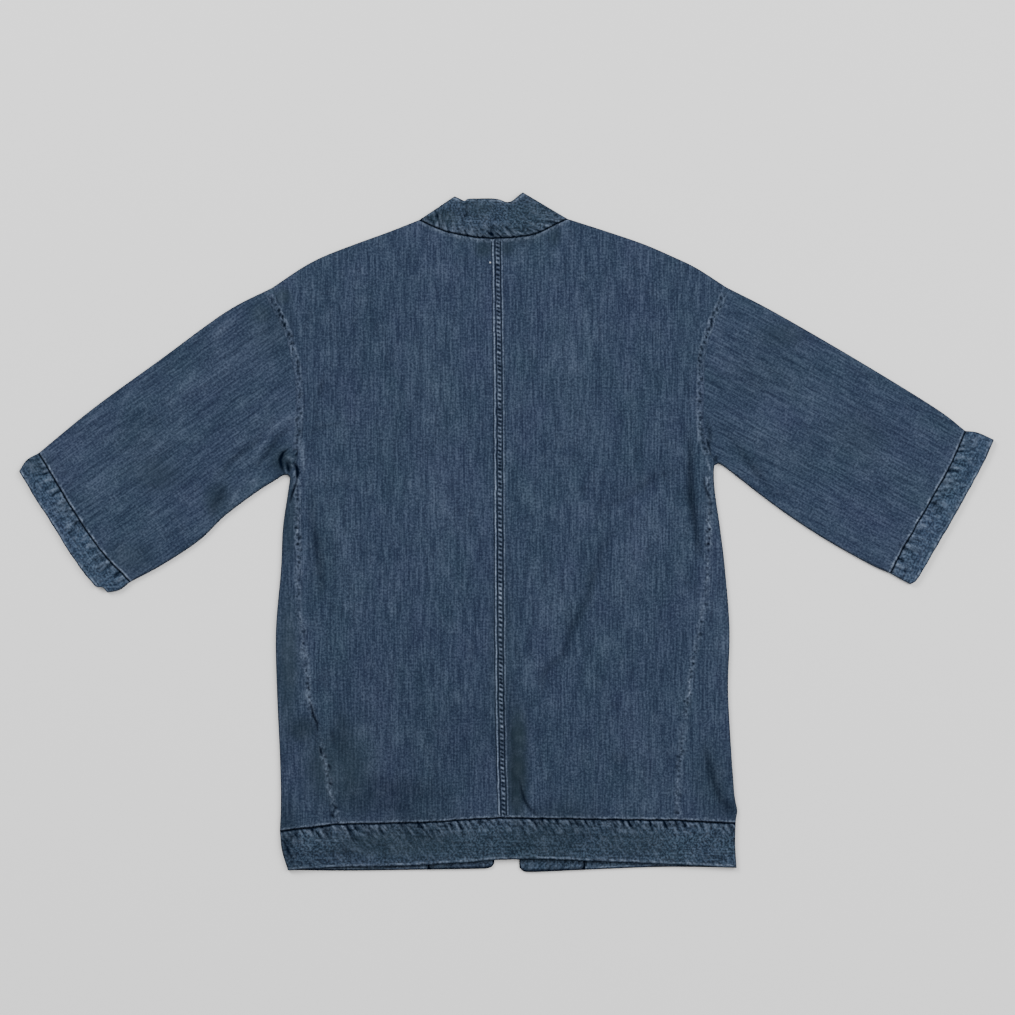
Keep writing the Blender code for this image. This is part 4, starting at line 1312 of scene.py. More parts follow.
BODY_DENIM = DenimFinish("washed_indigo_denim_body")
SLEEVE_DENIM = DenimFinish("washed_indigo_denim_sleeve", mid="243145",
                           streak_contrast=0.95, grain_contrast=0.92)
BAND_DENIM = DenimFinish("washed_indigo_denim_band", deep="0D1929", mid="202F41", pale="3A495D",
                         streak_contrast=0.8, grain_contrast=1.75)
CUFF_DENIM = DenimFinish("washed_indigo_denim_cuff", deep="112033", mid="233348", pale="3D4E63",
                         streak_contrast=0.8, grain_contrast=1.5)
TONAL_THREAD = ThreadFinish("navy_topstitch_thread", "16223A")
TACK_THREAD = ThreadFinish("white_tack_thread", "DDE2E6")

# Turn of the warp in the bands, in degrees
CROSSWISE = 90.0

# Distances from an edge at which rows of points lie, close together where the form is fine
ROUNDED = (0.0, 0.25, 0.9, 1.9, 3.0)
SEAM_MARKS = (0.0, 0.5, 1.0, 1.6, 2.3, 3.0, 3.8, 4.8)
BAND_MARKS = SEAM_MARKS[:4]
FREE_MARKS = (0.0, 0.5, 1.2)
FINE_MARKS = tuple(np.arange(0.0, 30.0, 1.3))
CENTRE_MARKS = SEAM_MARKS + tuple(np.arange(6.4, 47.0, 1.7))
SIDE_MARKS = SEAM_MARKS + tuple(np.arange(6.4, 34.0, 1.7))


@dataclass
class Body(Maker):
    """The back panels and the fronts that wrap to the back."""

    step: float = 4.0
    hidden_step: float = 5.5
    wall: float = 1.1
    side_steps: int = 170
    armhole_steps: int = 80
    front_armhole_steps: int = 44
    front_side_steps: int = 130
    fold_tail: float = 14.0
    seam_tail: float = 22.0
    tail_rows: int = 12
    strip_columns: int = 24
    underarm_rows: int = 7
    back_flat: tuple[float, float] = (310.0, 740.0)
    back_area: float = 186000.0
    front_flat: tuple[float, float] = (300.0, 750.0)
    front_area: float = 160000.0

    def build(self) -> None:
        """Make both backs and both fronts."""
        for side in Side:
            self.back(side)
            self.front(side)

    def back(self, side: Side) -> None:
        """Half of the back, from the centre seam to the armhole and the side seam."""
        neck, shoulder = (self.cut.line(side, name) for name in ("neck", "shoulder"))
        neck_count = round((neck.length - max(CENTRE_MARKS)) / self.step)
        count = round((shoulder.length - max(SIDE_MARKS)) / self.step)
        top = joined(neck.stations(neck_count, head=CENTRE_MARKS, tail=ROUNDED),
                     shoulder.stations(count, tail=SIDE_MARKS))
        inner = len(top) - len(CENTRE_MARKS) - len(SIDE_MARKS) + 1
        bottom = self.cut.run(side, "hem", inner, head=CENTRE_MARKS, tail=SIDE_MARKS)
        seam = self.cut.run(side, "side_seam", self.side_steps, head=SEAM_MARKS)
        armhole = self.cut.run(side, "armhole", self.armhole_steps, head=ROUNDED)
        outer = joined(seam, armhole[::-1])
        centre = self.cut.centre()
        level = np.interp(seam[-1][1], centre.points[:, 1], centre.reach)
        lower = np.concatenate([SEAM_MARKS, np.linspace(max(SEAM_MARKS), level,
                                                        self.side_steps + 1)[1:]])
        upper = np.concatenate([
            np.linspace(level, centre.length - max(ROUNDED), self.armhole_steps + 1)[1:-1],
            centre.length - np.array(ROUNDED[::-1])])
        plan = loft(bottom, top, centre.at(np.concatenate([lower, upper])), outer)
        grid = ClothGrid(plan, True)
        grid.sew(Edge.BOTTOM, BODY_SIDE).sew(Edge.START, PLAIN).sew(Edge.END, PLAIN)
        grid.sew(Edge.TOP, BODY_SIDE, slice(neck_count + len(CENTRE_MARKS) + len(ROUNDED) - 1))
        node = "back_" + side.value
        self.dresser.cloth(node, [grid], self.wall, BODY_DENIM, "denim_body", self.back_flat,
                           self.back_area, ["front_" + side.value])

    def wrap(self, fold: Array, seam: Array, under: SmoothLine) -> ClothGrid:
        """The strip of a front that lies on the back, from the side seam to the side fold."""
        marks = np.linspace(1.0, 0.0, self.strip_columns + 1)[:-1]
        rows = []
        for start, end in zip(seam, fold):
            width = float(np.linalg.norm(start - end))
            gaps = np.append(max(ROUNDED) + (width - max(ROUNDED)) * marks, ROUNDED[-2::-1])
            rows.append(end + (start - end) * (gaps / width)[:, None])
        plan = np.array(rows)
        gaps = np.linalg.norm(plan[-1] - plan[-1][-1], axis=1)
        plan[-1] = under.at(under.length - gaps / gaps[0] * under.length)
        return ClothGrid(plan, True).sew(Edge.BOTTOM, BODY_SIDE).sew(Edge.START, PLAIN)

    def front(self, side: Side) -> None:
        """One front: its lower sheet, and the strip that wraps over the side fold."""
        fold, seam = (self.cut.run(side, name, self.front_side_steps, SEAM_MARKS,
                                   np.linspace(0.0, reach, self.tail_rows))
                      for name, reach in (("side_fold", self.fold_tail),
                                          ("side_seam", self.seam_tail)))
        under = self.cut.line(side, "underarm")
        strip = self.wrap(fold, seam, under)
        armhole = self.cut.run(side, "armhole", self.front_armhole_steps, head=ROUNDED)
        corner = under.at(np.linspace(under.length, 0.0, self.underarm_rows))
        outer = joined(fold, corner, armhole[::-1])
        band = self.cut.line(side, "band_seam")
        level = float(np.interp(fold[-1][1], band.points[:, 1], band.reach))
        climb = travelled(outer[len(fold) - 1:])
        inner = joined(band.at(np.linspace(0.0, level, len(fold))),
                       band.at(level + climb / climb[-1] * (band.length - level)))
        shoulder = self.cut.line(side, "shoulder")
        count = round(shoulder.length / self.hidden_step)
        top = shoulder.stations(count, tail=ROUNDED)
        bottom = self.cut.run(side, "front_hem", count, head=ROUNDED)[::-1]
        lower = ClothGrid(loft(bottom, top, inner, outer), False)
        lower.sew(Edge.BOTTOM, BODY_SIDE).sew(Edge.START, BODY_SIDE)
        self.dresser.cloth("front_" + side.value, [lower, strip], self.wall, BODY_DENIM,
                           "denim_body", self.front_flat, self.front_area, ["floor"])


@dataclass
class Sleeves(Maker):
    """The two sleeves and their cuffs: flattened tubes."""

    wall: float = 1.1
    cuff_wall: float = 1.8
    cuff_rise: float = 0.7
    rows: int = 90
    columns: int = 64
    cuff_columns: int = 136
    cuff_rows: int = 22
    underarm_rows: int = 14
    grain: dict = field(default_factory=lambda: {Side.LEFT: -55.0, Side.RIGHT: 62.0})
    sleeve_flat: tuple[float, float] = (480.0, 400.0)
    sleeve_area: float = 135000.0
    cuff_flat: tuple[float, float] = (386.0, 34.0)

    def build(self) -> None:
        """Make both sleeves and both cuffs."""
        for side in Side:
            self.sleeve(side)
            self.cuff(side)

    def sleeve(self, side: Side) -> None:
        """A sleeve from the armhole to the cuff seam."""
        armhole = self.cut.run(side, "armhole", self.columns, head=ROUNDED, tail=FINE_MARKS)
        under = self.cut.line(side, "underarm")
        marks = np.concatenate([np.linspace(0.0, under.length - max(ROUNDED), self.underarm_rows),
                                under.length - np.array(ROUNDED[-2::-1])])
        first = joined(armhole, under.at(marks))
        last = self.cut.line(side, "cuff_seam").matching(first)
        plan = loft(first, last, *self.cut.facing(side, ("sleeve_top", "sleeve_base"), self.rows,
                                                  SEAM_MARKS + FINE_MARKS[4:], SEAM_MARKS))
        grids = [ClothGrid(plan, upper, grain=self.grain[side]) for upper in (True, False)]
        for grid in grids:
            grid.sew(Edge.BOTTOM, PLAIN).sew(Edge.TOP, SLEEVE_END)
        self.dresser.cloth("sleeve_" + side.value, grids, self.wall, SLEEVE_DENIM,
                           "denim_sleeve", self.sleeve_flat, self.sleeve_area, ["floor"])

    def cuff(self, side: Side) -> None:
        """A doubled cuff from its seam to the free edge."""
        plan = loft(*self.cut.facing(side, ("cuff_seam", "cuff_edge"), self.cuff_columns,
                                     ROUNDED, ROUNDED),
                    *self.cut.facing(side, ("cuff_top", "cuff_base"), self.cuff_rows,
                                     BAND_MARKS, FREE_MARKS))
        grids = [ClothGrid(plan, upper, self.cuff_rise, self.grain[side] + CROSSWISE)
                 for upper in (True, False)]
        for grid in grids:
            grid.sew(Edge.BOTTOM, CUFF_SIDE).sew(Edge.TOP, FREE_EDGE)
        self.dresser.cloth("cuff_" + side.value, grids, self.cuff_wall, CUFF_DENIM,
                           "denim_band", self.cuff_flat, self.cuff_flat[0] * self.cuff_flat[1],
                           ["floor"])


@dataclass
class Bands(Maker):
    """The neckband and the hem band: doubled strips that run round the garment."""

    wall: float = 1.8
    rise: float = 0.7
    step: float = 1.4
    front_step: float = 4.6
    rows: int = 32
    columns: int = 30
    end_rows: int = 12
    neckband_flat: tuple[float, float] = (1760.0, 78.0)
    neckband_area: float = 124000.0
    hem_flat: tuple[float, float] = (905.0, 48.0)

    def build(self) -> None:
        """Make both bands."""
        self.neckband()
        self.hem_band()

    def upper(self, seam: Array, corner: str, points: tuple, end: str, steps: int,
              style: SeamSide) -> ClothGrid:
        """The part of a band that lies on the upper sheet.

        Args:
            seam: stations along its seam.
            corner: name of the corners between which its free edge runs.
            points: points on that edge.
            end: name of the lines at its two ends.
            steps: how many steps it has across.
            style: how it lies beside the seam.

        Returns:
            The grid.
        """
        first, last = (CORNERS[side][corner] for side in Side)
        edge = SmoothLine([first, *points, last]).matching(seam)
        ends = [self.cut.run(side, end, steps, BAND_MARKS, FREE_MARKS) for side in Side]
        grid = ClothGrid(loft(seam, edge, *ends), True, self.rise, CROSSWISE)
        return grid.sew(Edge.BOTTOM, style).sew(Edge.TOP, FREE_EDGE)

    def neckband(self) -> None:
        """Up the left front, round the back of the neck, and down the right front."""
        grids = []
        for side in Side:
            foot, fold = self.cut.facing(side, ("band_foot", "neck_fold"), self.columns,
                                         BAND_MARKS, FREE_MARKS)
            seam_line = self.cut.line(side, "band_seam")
            count = round(seam_line.length / self.front_step)
            end = self.cut.run(side, "band_end", self.end_rows)[::-1]
            seam = joined(end, seam_line.stations(count, tail=ROUNDED))
            edge = self.cut.run(side, "band_edge", count + self.end_rows, tail=ROUNDED)
            grid = ClothGrid(loft(foot, fold, seam, edge), False)
            grids.append(grid.sew(Edge.START, NECK_SIDE).sew(Edge.END, FREE_EDGE)
                         .sew(Edge.BOTTOM, FREE_EDGE))
        halves = [self.cut.line(side, "neck") for side in Side]
        runs = [half.stations(round(half.length / self.step), tail=ROUNDED) for half in halves]
        neck = joined(runs[0][::-1], runs[1])
        grids.append(self.upper(neck, "peak", NECKBAND_TOP, "neck_fold", self.columns,
                                NECK_SIDE))
        self.dresser.cloth("neckband", grids, self.wall, BAND_DENIM, "denim_band",
                           self.neckband_flat, self.neckband_area, ["floor"])

    def hem_band(self) -> None:
        """From the left front, across the back, to the right front."""
        grids = []
        for side in Side:
            head, foot = (self.cut.line(side, name) for name in ("front_hem", "front_foot"))
            count = round(head.length / self.front_step)
            plan = loft(head.stations(count, head=ROUNDED), foot.stations(count, head=ROUNDED),
                        *self.cut.facing(side, ("hem_end", "band_end"), self.rows, BAND_MARKS,
                                         FREE_MARKS))
            grid = ClothGrid(plan, False, grain=CROSSWISE)
            grids.append(grid.sew(Edge.BOTTOM, BAND_SIDE).sew(Edge.TOP, FREE_EDGE))
        runs = []
        for side in Side:
            wrap, half = (self.cut.line(side, name) for name in ("hem_wrap", "hem"))
            run = joined(wrap.stations(round(wrap.length / self.step), head=ROUNDED),
                         half.stations(round(half.length / self.step))[::-1])
            runs.append(run if side is Side.LEFT else run[::-1])
        grids.append(self.upper(joined(*runs), "foot_fold", BACK_FOOT, "hem_end", self.rows,
                                BAND_SIDE))
        self.dresser.cloth("hem_band", grids, self.wall, BAND_DENIM, "denim_band",
                           self.hem_flat, self.hem_flat[0] * self.hem_flat[1],
                           ["front_left", "front_right"])


@dataclass(frozen=True)
class Strand:
    """A worn line or a groove that runs along a raised seam and wanders sideways.

    It sways in waves of the first two cells' size, the second with the fine share, and its
    strength varies in waves of the third. A groove is painted dark as shade.
    """

    place: float
    half_width: float
    height: float
    wear: float = 0.0
    groove: float = 0.0
    wander: float = 0.0
    broken: float = 0.3
    seed: int = 1
    cells: tuple[float, float, float] = (9.0, 3.8, 6.0)
    fine_share: float = 0.7
    strongest: float = 1.6

    def shape(self, place: Array, along: Array) -> tuple[Array, ...]:
        """Relief, wear and groove that the strand adds across the seam."""
        wide, fine, breaks = (swings(self.seed + k, cell, along)
                              for k, cell in enumerate(self.cells))
        sway = self.wander * (wide + self.fine_share * fine)
        hold = np.clip(1.0 + self.broken * (1.5 * breaks - 0.3), 0.0, self.strongest)[:, None]
        share = hold * bell((place - self.place - sway[:, None]) / self.half_width)
        return self.height * share, self.wear * share, self.groove * share


@dataclass(frozen=True)
class Pits:
    """The small hollows between the stitches of a seam, painted dark as shade.

    place and spread say where they lie across the strip. rim_place and rim_width are shares of
    a pit's size. A pit's rim is painted paler as a highlight, as raised cloth catching the light.
    A face of 1 or -1 paints it on one side of the rims only, and on their ends by end_share.
    """

    pitch: float
    place: float = 0.0
    spread: float = 0.0
    unevenness: float = 0.15
    length: float = 1.1
    width: float = 1.5
    depth: float = 0.5
    shade: float = 0.9
    slant: float = 0.0
    weakest: float = 0.7
    rim_highlight: float = 0.0
    rim_place: float = 1.7
    rim_width: float = 0.5
    face: float = 0.0
    end_share: float = 0.15
    seed: int = 2

    def shape(self, place: Array, along: Array) -> tuple[Array, Array]:
        """How far each point of the strip lies in a pit, and the painted highlight on a pit's
        rim.
        """
        chance = np.random.default_rng(self.seed)
        count = int(along.max() / self.pitch) + 8
        steps = self.pitch * chance.uniform(1 - self.unevenness, 1 + self.unevenness, count)
        centre = np.cumsum(steps) - 3 * self.pitch
        side = self.place + self.spread * chance.uniform(-1.0, 1.0, count)
        strength = chance.uniform(self.weakest, 1.0, count)
        size = chance.uniform(1 - self.unevenness, 1 + self.unevenness, count)
        pit, rim = np.zeros((2, len(along), len(place)))
        for k in beside(centre, along, (-2, -1, 0, 1)):
            across = place[None] - side[k][:, None]
            ahead_by = (along - centre[k])[:, None] + self.slant * across
            spread = size[k][:, None] * np.array(((self.length, self.width),))
            reach = np.hypot(ahead_by / spread[:, :1], across / spread[:, 1:])
            pit = np.maximum(pit, strength[k][:, None] * bell(reach, 3))
            turn = across / np.maximum(np.hypot(ahead_by, across), 0.1)
            facing = clipped(self.end_share + (1.0 - self.end_share) * turn * self.face)
            # Painted highlight on a pit's raised rim, on the side that faces the light
            worn = bell((reach - self.rim_place) / self.rim_width)
            rim = np.maximum(rim, strength[k][:, None] * (facing if self.face else 1.0) * worn)
        return pit, self.rim_highlight * rim * (1.0 - pit)


@dataclass(frozen=True)
class Zigzag:
    """A worn ridge that swings from side to side of a seam, with a pit inside each bend.

    size is that of a pit. steps are the least and most share of the pitch between bends, and
    weakest the least shares of the swing and of a pit's strength. A pit is painted dark as shade.
    """

    pitch: float
    swing: float
    half_width: float
    wear: float
    size: float
    depth: float
    shade: float
    seed: int
    broken: float = 0.8
    steps: tuple[float, float] = (0.55, 1.45)
    weakest: tuple[float, float] = (0.1, 0.2)
    cell: float = 6.0
    strongest: float = 1.6
    pit_place: float = 0.3

    def shape(self, place: Array, along: Array) -> tuple[Array, Array]:
        """How far each point of the strip lies in a pit, and how worn it is by the ridge."""
        chance = np.random.default_rng(self.seed)
        count = int(along.max() / self.pitch) + 8
        bend = np.cumsum(self.pitch * chance.uniform(*self.steps, count)) - 3 * self.pitch
        side = (self.swing * chance.uniform(self.weakest[0], 1.0, count)
                * (-1.0) ** np.arange(count))
        strength = chance.uniform(self.weakest[1], 1.0, count)
        sway = np.interp(along, bend, side)[:, None]
        breaks = self.broken * swings(self.seed, self.cell, along)
        hold = np.clip(1.0 + self.strongest * breaks, 0.0, self.strongest)
        ridge = hold[:, None] * bell((place[None] - sway) / self.half_width)
        pit = np.zeros((len(along), len(place)))
        for k in beside(bend, along, (-1, 0)):
            reach = np.hypot((along - bend[k])[:, None],
                             place[None] - self.pit_place * side[k][:, None]) / self.size
            pit = np.maximum(pit, strength[k][:, None] * bell(reach, 3))
        return pit, self.wear * ridge * (1.0 - pit)


@dataclass(frozen=True)
class SeamStrip:
    """Form of a raised seam: its swell, its strands, its pits and the bars between them.

    It slopes down over slope at its sides and end_slope at its ends, and sinks into the cloth
    there by side_depth and end_depth. bed is how far the bottom of a pit stays above the cloth,
    and pit_reach how far a pit keeps the bars off. fleck and patch are the sizes of the uneven
    wear, and patch_limits how weak and strong the patches are. column and step are the sizes of
    its faces across and along. Its grooves and pits are painted dark as shade, and its pits'
    rims paler as a highlight.
    """

    half_width: float
    swell: float
    strands: tuple[Strand, ...]
    pits: tuple[Pits | Zigzag, ...]
    bar_wear: float = 0.0
    bar_half_width: float = 2.0
    bar_place: float = 0.3
    patchiness: float = 0.0
    hatch_pitch: float = 1.7
    hatch_strength: float = 0.6
    bed: float = 0.15
    column: float = 0.62
    slope: float = 2.2
    end_slope: float = 3.0
    side_depth: float = 0.45
    end_depth: float = 0.5
    rim_height: float = 0.3
    pit_reach: float = 1.6
    fleck: float = 5.0
    patch: float = 38.0
    patch_limits: tuple[float, float] = (0.15, 1.3)
    step: float = 1.2
    seed: int = 7

    def work(self, grid: ClothGrid, place: Array, along: Array) -> tuple[Array, Array]:
        """Wear the grid by strands and bars, paint the pits' rims paler as a highlight, and give
        its relief and its pits' painted shade.
        """
        relief, pits = np.zeros((2, len(along), len(place)))
        for strand in self.strands:
            height, wear, groove = strand.shape(place[None], along)
            relief += height
            grid.wear += wear
            # A strand's groove share is painted shade
            grid.groove += groove
        for series in self.pits:
            # A pit is painted dark as shade, and its rim paler as a highlight
            pit, rim = series.shape(place, along)
            relief += self.rim_height * rim - series.depth * pit
            grid.wear = np.maximum(grid.wear, rim)
            pits = np.maximum(pits, series.shade * pit)
        bars = bell((place - self.bar_place) / self.bar_half_width, 4)[None]
        between = clipped(1.0 - self.pit_reach * pits)
        flecks = 1.0 + 0.5 * swings(self.seed, self.fleck, along)[:, None]
        grid.wear += self.bar_wear * bars * between * flecks
        return relief, pits

    def grid(self, line: SmoothLine, shift: float, ends: tuple[float, float],
             turn: float) -> ClothGrid:
        """The strip's points along a seam.

        Args:
            line: the seam.
            shift: how far the strip's middle lies to the right of the line.
            ends: how far the strip stops short of the line's two ends.
            turn: -1 mirrors the strip.

        Returns:
            The grid, with its relief, wear and grooves.
        """
        rows = round((line.length - sum(ends)) / self.step)
        along = np.linspace(ends[0], line.length - ends[1], rows + 1)
        place = np.linspace(-self.half_width, self.half_width,
                            round(2 * self.half_width / self.column) + 1)
        spots, normals = line.at(along), line.normals(along)
        plan = spots[:, None] + normals[:, None] * (place * turn + shift)[None, :, None]
        grid = ClothGrid(plan, True)
        relief, pits = self.work(grid, place, along)
        rise = clipped((self.half_width - np.abs(place)) / self.slope)
        patches = 1.0 - self.patchiness * (0.5 + 0.8 * swings(self.seed + 1, self.patch, along))
        hold = np.clip(patches, *self.patch_limits)[:, None]
        to_end = np.minimum(along - ends[0], line.length - ends[1] - along)
        fade = clipped(to_end / self.end_slope)[:, None]
        # A pit stays above the cloth under the strip, or that cloth would fill it
        lowest = self.bed * rise - self.side_depth * (1.0 - rise)
        grid.relief = np.maximum(lowest + self.swell * rise + relief * hold * rise, lowest)
        grid.relief -= self.end_depth * (1.0 - fade)
        grid.wear = clipped(grid.wear * hold * rise)
        # The painted shade of the grooves and pits fades with the patches and the slopes
        grid.groove = clipped(np.maximum(grid.groove, pits) * hold * rise)
        pattern = [along[:, None] / self.hatch_pitch, place[None] / self.hatch_pitch,
                   self.hatch_strength * rise[None]]
        grid.hatch = np.stack(np.broadcast_arrays(*pattern), axis=-1)
        return grid


CENTRE_STRIP = SeamStrip(
    half_width=8.6, swell=0.55,
    strands=(Strand(-5.1, 0.62, 0.28, wear=0.9, broken=0.12, seed=101),
             Strand(5.4, 0.7, 0.16, wear=0.4, broken=0.3, seed=104),
             Strand(-6.9, 0.7, -0.3, groove=0.9, broken=0.15, seed=107),
             Strand(-2.75, 0.75, -0.4, groove=1.0, broken=0.1, seed=110),
             Strand(3.5, 0.75, -0.4, groove=1.0, broken=0.1, seed=113),
             Strand(7.4, 0.7, -0.15, groove=0.4, broken=0.5, seed=116)),
    pits=(Pits(5.3, place=0.4, spread=0.3, unevenness=0.18, length=1.7, width=2.5,
               depth=0.5, shade=1.0, slant=0.4, weakest=0.75, seed=120),),
    bar_wear=0.8, hatch_strength=0.2, column=0.56)
ARMHOLE_STRIP = SeamStrip(
    half_width=6.0, swell=0.3,
    strands=(Strand(-3.2, 1.0, 0.15, wear=0.09, wander=0.9, broken=1.5, seed=131),
             Strand(3.6, 1.0, 0.15, wear=0.11, wander=0.9, broken=1.5, seed=134)),
    pits=(Pits(5.8, place=0.2, spread=1.8, unevenness=0.5, length=1.9, width=2.1,
               depth=0.35, shade=1.0, slant=0.5, weakest=0.6, rim_highlight=0.34, face=1.0,
               seed=143),
          Pits(6.0, place=0.8, spread=3.6, unevenness=0.6, length=1.4, width=1.5,
               depth=0.3, shade=0.95, weakest=0.35, rim_highlight=0.3, face=-1.0, seed=146),
          Pits(2.8, place=-4.3, spread=0.3, unevenness=0.3, length=0.8, width=0.7,
               depth=0.1, shade=0.45, weakest=0.1, seed=149)),
    bar_wear=0.09, bar_half_width=4.4, bar_place=0.0, patchiness=0.3, hatch_strength=0.3,
    seed=13)
SIDE_STRIP = SeamStrip(
    half_width=6.6, swell=0.25,
    strands=(Strand(2.8, 1.1, 0.1, wear=0.1, wander=1.4, broken=1.6, seed=154),),
    pits=(Zigzag(pitch=8.0, swing=2.8, half_width=1.2, wear=0.32, size=1.8, depth=0.25,
                 shade=0.9, seed=160),
          Pits(8.0, place=0.3, spread=3.4, unevenness=0.6, length=1.5, width=2.2,
               depth=0.3, shade=0.85, weakest=0.15, rim_highlight=0.3, face=-1.0, seed=163)),
    bar_wear=0.09, bar_half_width=4.0, bar_place=0.0, patchiness=0.65, hatch_strength=0.3,
    seed=19)


@dataclass
class FelledSeams(Maker):
    """Raised, puckered seams: the centre back, the armholes and the side seams."""

    wall: float = 0.7
    centre_shift: float = 6.0
    side_tops: dict = field(default_factory=lambda: {Side.LEFT: 12.0, Side.RIGHT: 30.0})

    def build(self) -> None:
        """Make each felled seam."""
        self.seam("centre_back_seam", self.cut.centre(), CENTRE_STRIP,
                  shift=self.centre_shift, ends=(2.6, 2.6))
        for side in Side:
            turn = 1.0 if side is Side.LEFT else -1.0
            self.seam("armhole_seam_" + side.value, SmoothLine(list(ARMHOLE_FELLS[side])),
                      ARMHOLE_STRIP, turn=-turn)
            self.seam("side_seam_" + side.value, self.cut.line(side, "side_seam"), SIDE_STRIP,
                      ends=(2.4, self.side_tops[side]), turn=turn)

    def seam(self, name: str, line: SmoothLine, strip: SeamStrip, shift: float = 0.0,
             ends: tuple[float, float] = (1.0, 1.0), turn: float = 1.0) -> None:
        """Lay one raised strip along a seam.

        Args:
            name: the piece's name.
            line: the seam.
            strip: the strip's form.
            shift: how far the strip's middle lies to the right of the line.
            ends: how far the strip stops short of the line's two ends.
            turn: -1 mirrors the cross-section.
        """
        grid = strip.grid(line, shift, ends, turn)
        piece = ClothPiece(name, [grid], self.wall, self.dresser.relief).build()
        self.dresser.dress(piece, BODY_DENIM, "denim_body")


@dataclass
class Topstitching(Maker):
    """Rows of lockstitch in tonal thread, each a run of small stitches sunk into the cloth."""

    length: float = 2.7
    pitch: float = 3.6
    thickness: float = 0.55
    height: float = 0.44
    sink: float = 0.12
    seam_rise: float = 0.2
    inset: float = 2.0
    lowest: float = 0.25
    centre_places: tuple[float, float] = (3.2, 9.3)
    tacks: tuple = (((-21.4, 321.4), (-18.0, 324.4)), ((-21.0, 324.2), (-18.8, 321.6)))
    tack_rise: float = 0.7

    def build(self) -> None:
        """Sew all rows."""
        centre = self.cut.centre()
        rows = [(centre, place, self.seam_rise, True) for place in self.centre_places]
        self.sew("centre_back_stitches", rows, "denim_body", TONAL_THREAD)
        for side in Side:
            inset = self.inset if side is Side.LEFT else -self.inset
            rows = [(self.cut.line(side, name), shift, 0.0, True)
                    for name, shift in (("neck", inset), ("hem", -inset), ("hem_wrap", -inset))]
            self.sew("body_stitches_" + side.value, rows, "denim_body", TONAL_THREAD)
            rows = [(self.cut.line(side, "cuff_seam"), inset, 0.0, upper)
                    for upper in (True, False)]
            self.sew("cuff_stitches_" + side.value, rows, "denim_band", TONAL_THREAD)
            rows = [(self.cut.line(side, name), -inset, 0.0, False)
                    for name in ("band_seam", "front_hem")]
            self.sew("front_stitches_" + side.value, rows, "denim_band", TONAL_THREAD)
        rows = [(SmoothLine(list(tack)), 0.0, self.tack_rise, True) for tack in self.tacks]
        self.sew("neck_tack", rows, "denim_body", TACK_THREAD)

    def stitch(self) -> tuple[Array, Array]:
        """Points and faces of one stitch. A triangle's last corner is there twice."""
        bpy.ops.object.select_all(action="DESELECT")
        bpy.ops.mesh.primitive_uv_sphere_add(segments=6, ring_count=4, radius=0.5)
        stitch = bpy.context.object
        shape = np.empty(3 * len(stitch.data.vertices))
        stitch.data.vertices.foreach_get("co", shape)
        faces = np.array([face.vertices[:] + (face.vertices[-1],) * (4 - len(face.vertices))
                          for face in stitch.data.polygons])
        bpy.ops.object.delete()
        size = (self.length, self.thickness, self.height)
        return shape.reshape(-1, 3)[:, [2, 0, 1]] * size, faces

    def sew(self, name: str, rows: list[tuple], slot: str, thread: ThreadFinish) -> None:
        """Sew rows of stitches into one piece.

        Args:
            name: the piece's name.
            rows: the line, its sideways shift, the rise of the seam under the thread, and
                whether the row is on the upper sheet.
            slot: the record's material slot.
            thread: the thread's finish.
        """
        shape, faces = self.stitch()
        bodies = []
        for line, shift, lift, upper in rows:
            count = max(1, int(line.length / self.pitch))
            along = (np.arange(count) + 0.5) * line.length / count
            right = line.normals(along)
            spots = line.at(along) + shift * right
            ahead = np.column_stack([-right[:, 1], right[:, 0]])
            placed, _, _ = self.dresser.relief.lift(spots, upper, 0.0, np.full(count, lift))
            height = np.maximum(placed[:, 2] - (self.sink if upper else -self.sink),
                                self.lowest)
            plan = (placed[:, None, :2] + shape[None, :, :1] * ahead[:, None]
                    + shape[None, :, 1:2] * right[:, None])
            bodies.append(np.dstack([plan, height[:, None] + shape[None, :, 2]]))
        bodies = np.concatenate(bodies)
        corners = faces[None] + len(shape) * np.arange(len(bodies))[:, None, None]
        polygons = [tuple(dict.fromkeys(face)) for face in corners.reshape(-1, 4).tolist()]
        mesh = bpy.data.meshes.new(name)
        mesh.from_pydata((bodies.reshape(-1, 3) * MM).tolist(), [], polygons)
        piece = new_object(name, mesh)
        select_only(piece)
        edit_all(bpy.ops.mesh.normals_make_consistent, inside=False)
        bpy.ops.object.shade_smooth()
        self.dresser.dress(piece, thread, slot)
        LOG.info("%s: %d stitches", name, len(bodies))


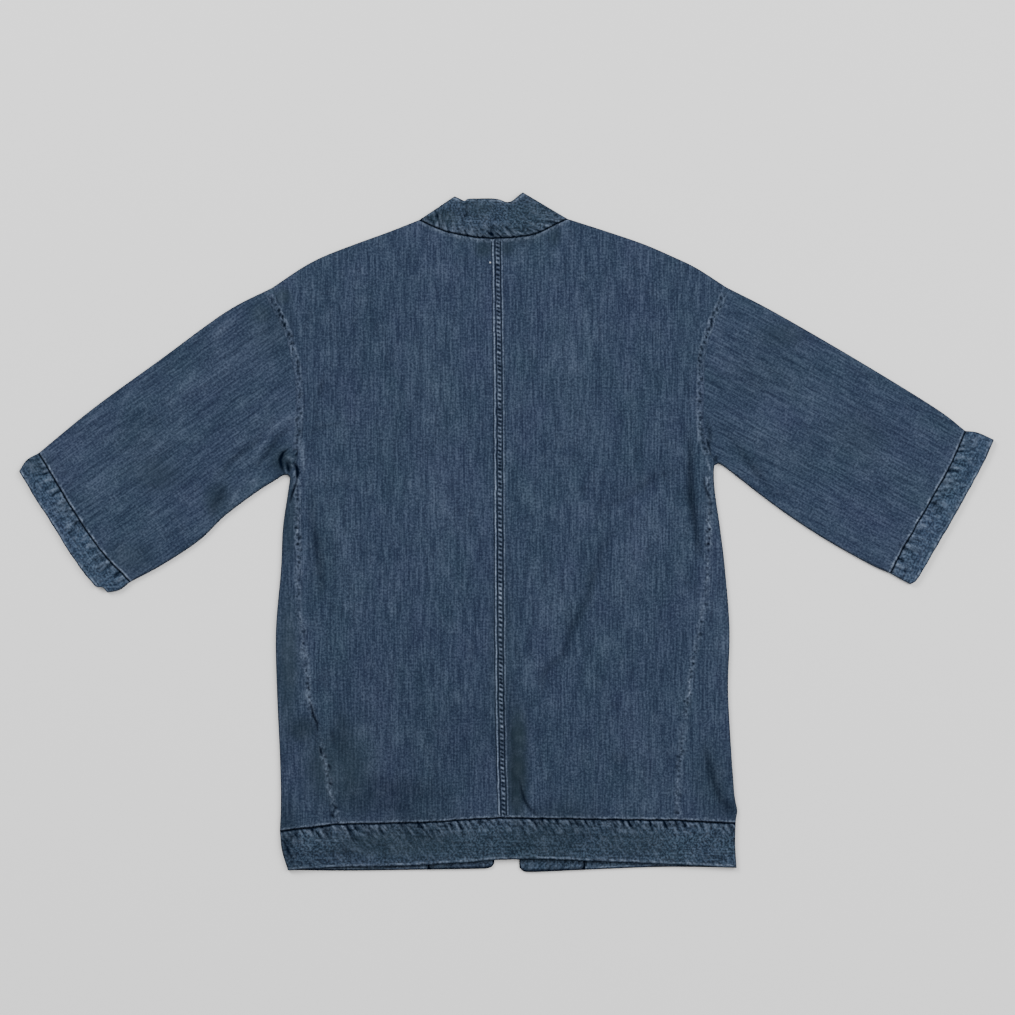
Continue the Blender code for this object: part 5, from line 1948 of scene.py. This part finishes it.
@dataclass
class Studio:
    """A pale floor, soft light from the upper left, and a camera that looks straight down.

    The floor's size and the softboxes' places and sizes are in metres, their power is in watts,
    and the rest is in millimetres.
    """

    frame_width: float = 1218.0
    height: float = 3500.0
    sensor: float = 36.0
    aim: tuple[float, float] = (1.2, 29.4)
    floor_size: float = 14.0
    floor_drop: float = 0.2
    floor_colour: str = "F8F8F8"
    floor_roughness: float = 0.9
    sky_colour: str = "FFFFFF"
    sky_strength: float = 0.6
    softboxes: tuple = (("key_softbox", (-2.9, 3.1, 3.0), 2.2, 235.0),
                        ("fill_softbox", (2.9, 1.3, 3.1), 3.0, 158.0))

    def build(self) -> None:
        """Set up the floor, the light and the camera."""
        self.floor()
        self.world()
        for softbox in self.softboxes:
            self.softbox(*softbox)
        self.camera()

    def floor(self) -> None:
        """A plain pale floor."""
        bpy.ops.object.select_all(action="DESELECT")
        bpy.ops.mesh.primitive_plane_add(size=self.floor_size,
                                         location=(0.0, 0.0, -self.floor_drop * MM))
        floor = bpy.context.object
        floor.name = "floor"
        material, shader = new_material("pale_matt_board")
        shader.inputs["Base Color"].default_value = hex_colour(self.floor_colour)
        shader.inputs["Roughness"].default_value = self.floor_roughness
        floor.data.materials.append(material)

    def world(self) -> None:
        """Even white surroundings."""
        world = bpy.data.worlds.new("studio")
        world.use_nodes = True
        background = world.node_tree.nodes["Background"]
        background.inputs["Color"].default_value = hex_colour(self.sky_colour)
        background.inputs["Strength"].default_value = self.sky_strength
        bpy.context.scene.world = world

    def softbox(self, name: str, place: tuple, size: float, power: float) -> None:
        """A square area light that faces the jacket."""
        light = bpy.data.lights.new(name, "AREA")
        light.size, light.energy = size, power
        lamp = new_object(name, light)
        lamp.location = place
        x, y, z = place
        lamp.rotation_euler = (math.atan2(math.hypot(x, y), z), 0.0, math.atan2(x, -y))

    def camera(self) -> None:
        """A long lens straight above, framed as the photograph is."""
        data = bpy.data.cameras.new("camera")
        data.sensor_fit = "HORIZONTAL"
        data.sensor_width = self.sensor
        data.lens = self.sensor * self.height / self.frame_width
        camera = new_object("camera", data)
        camera.location = (self.aim[0] * MM, self.aim[1] * MM, self.height * MM)
        bpy.context.scene.camera = camera


def main() -> None:
    """Build the jacket on its frame."""
    logging.basicConfig(level=logging.INFO)
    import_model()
    cut = Cut()
    dresser = Dresser(Relief())
    Studio().build()
    for maker in (Body, Sleeves, Bands, FelledSeams, Topstitching):
        maker(dresser, cut).build()


if __name__ == "__main__":
    main()
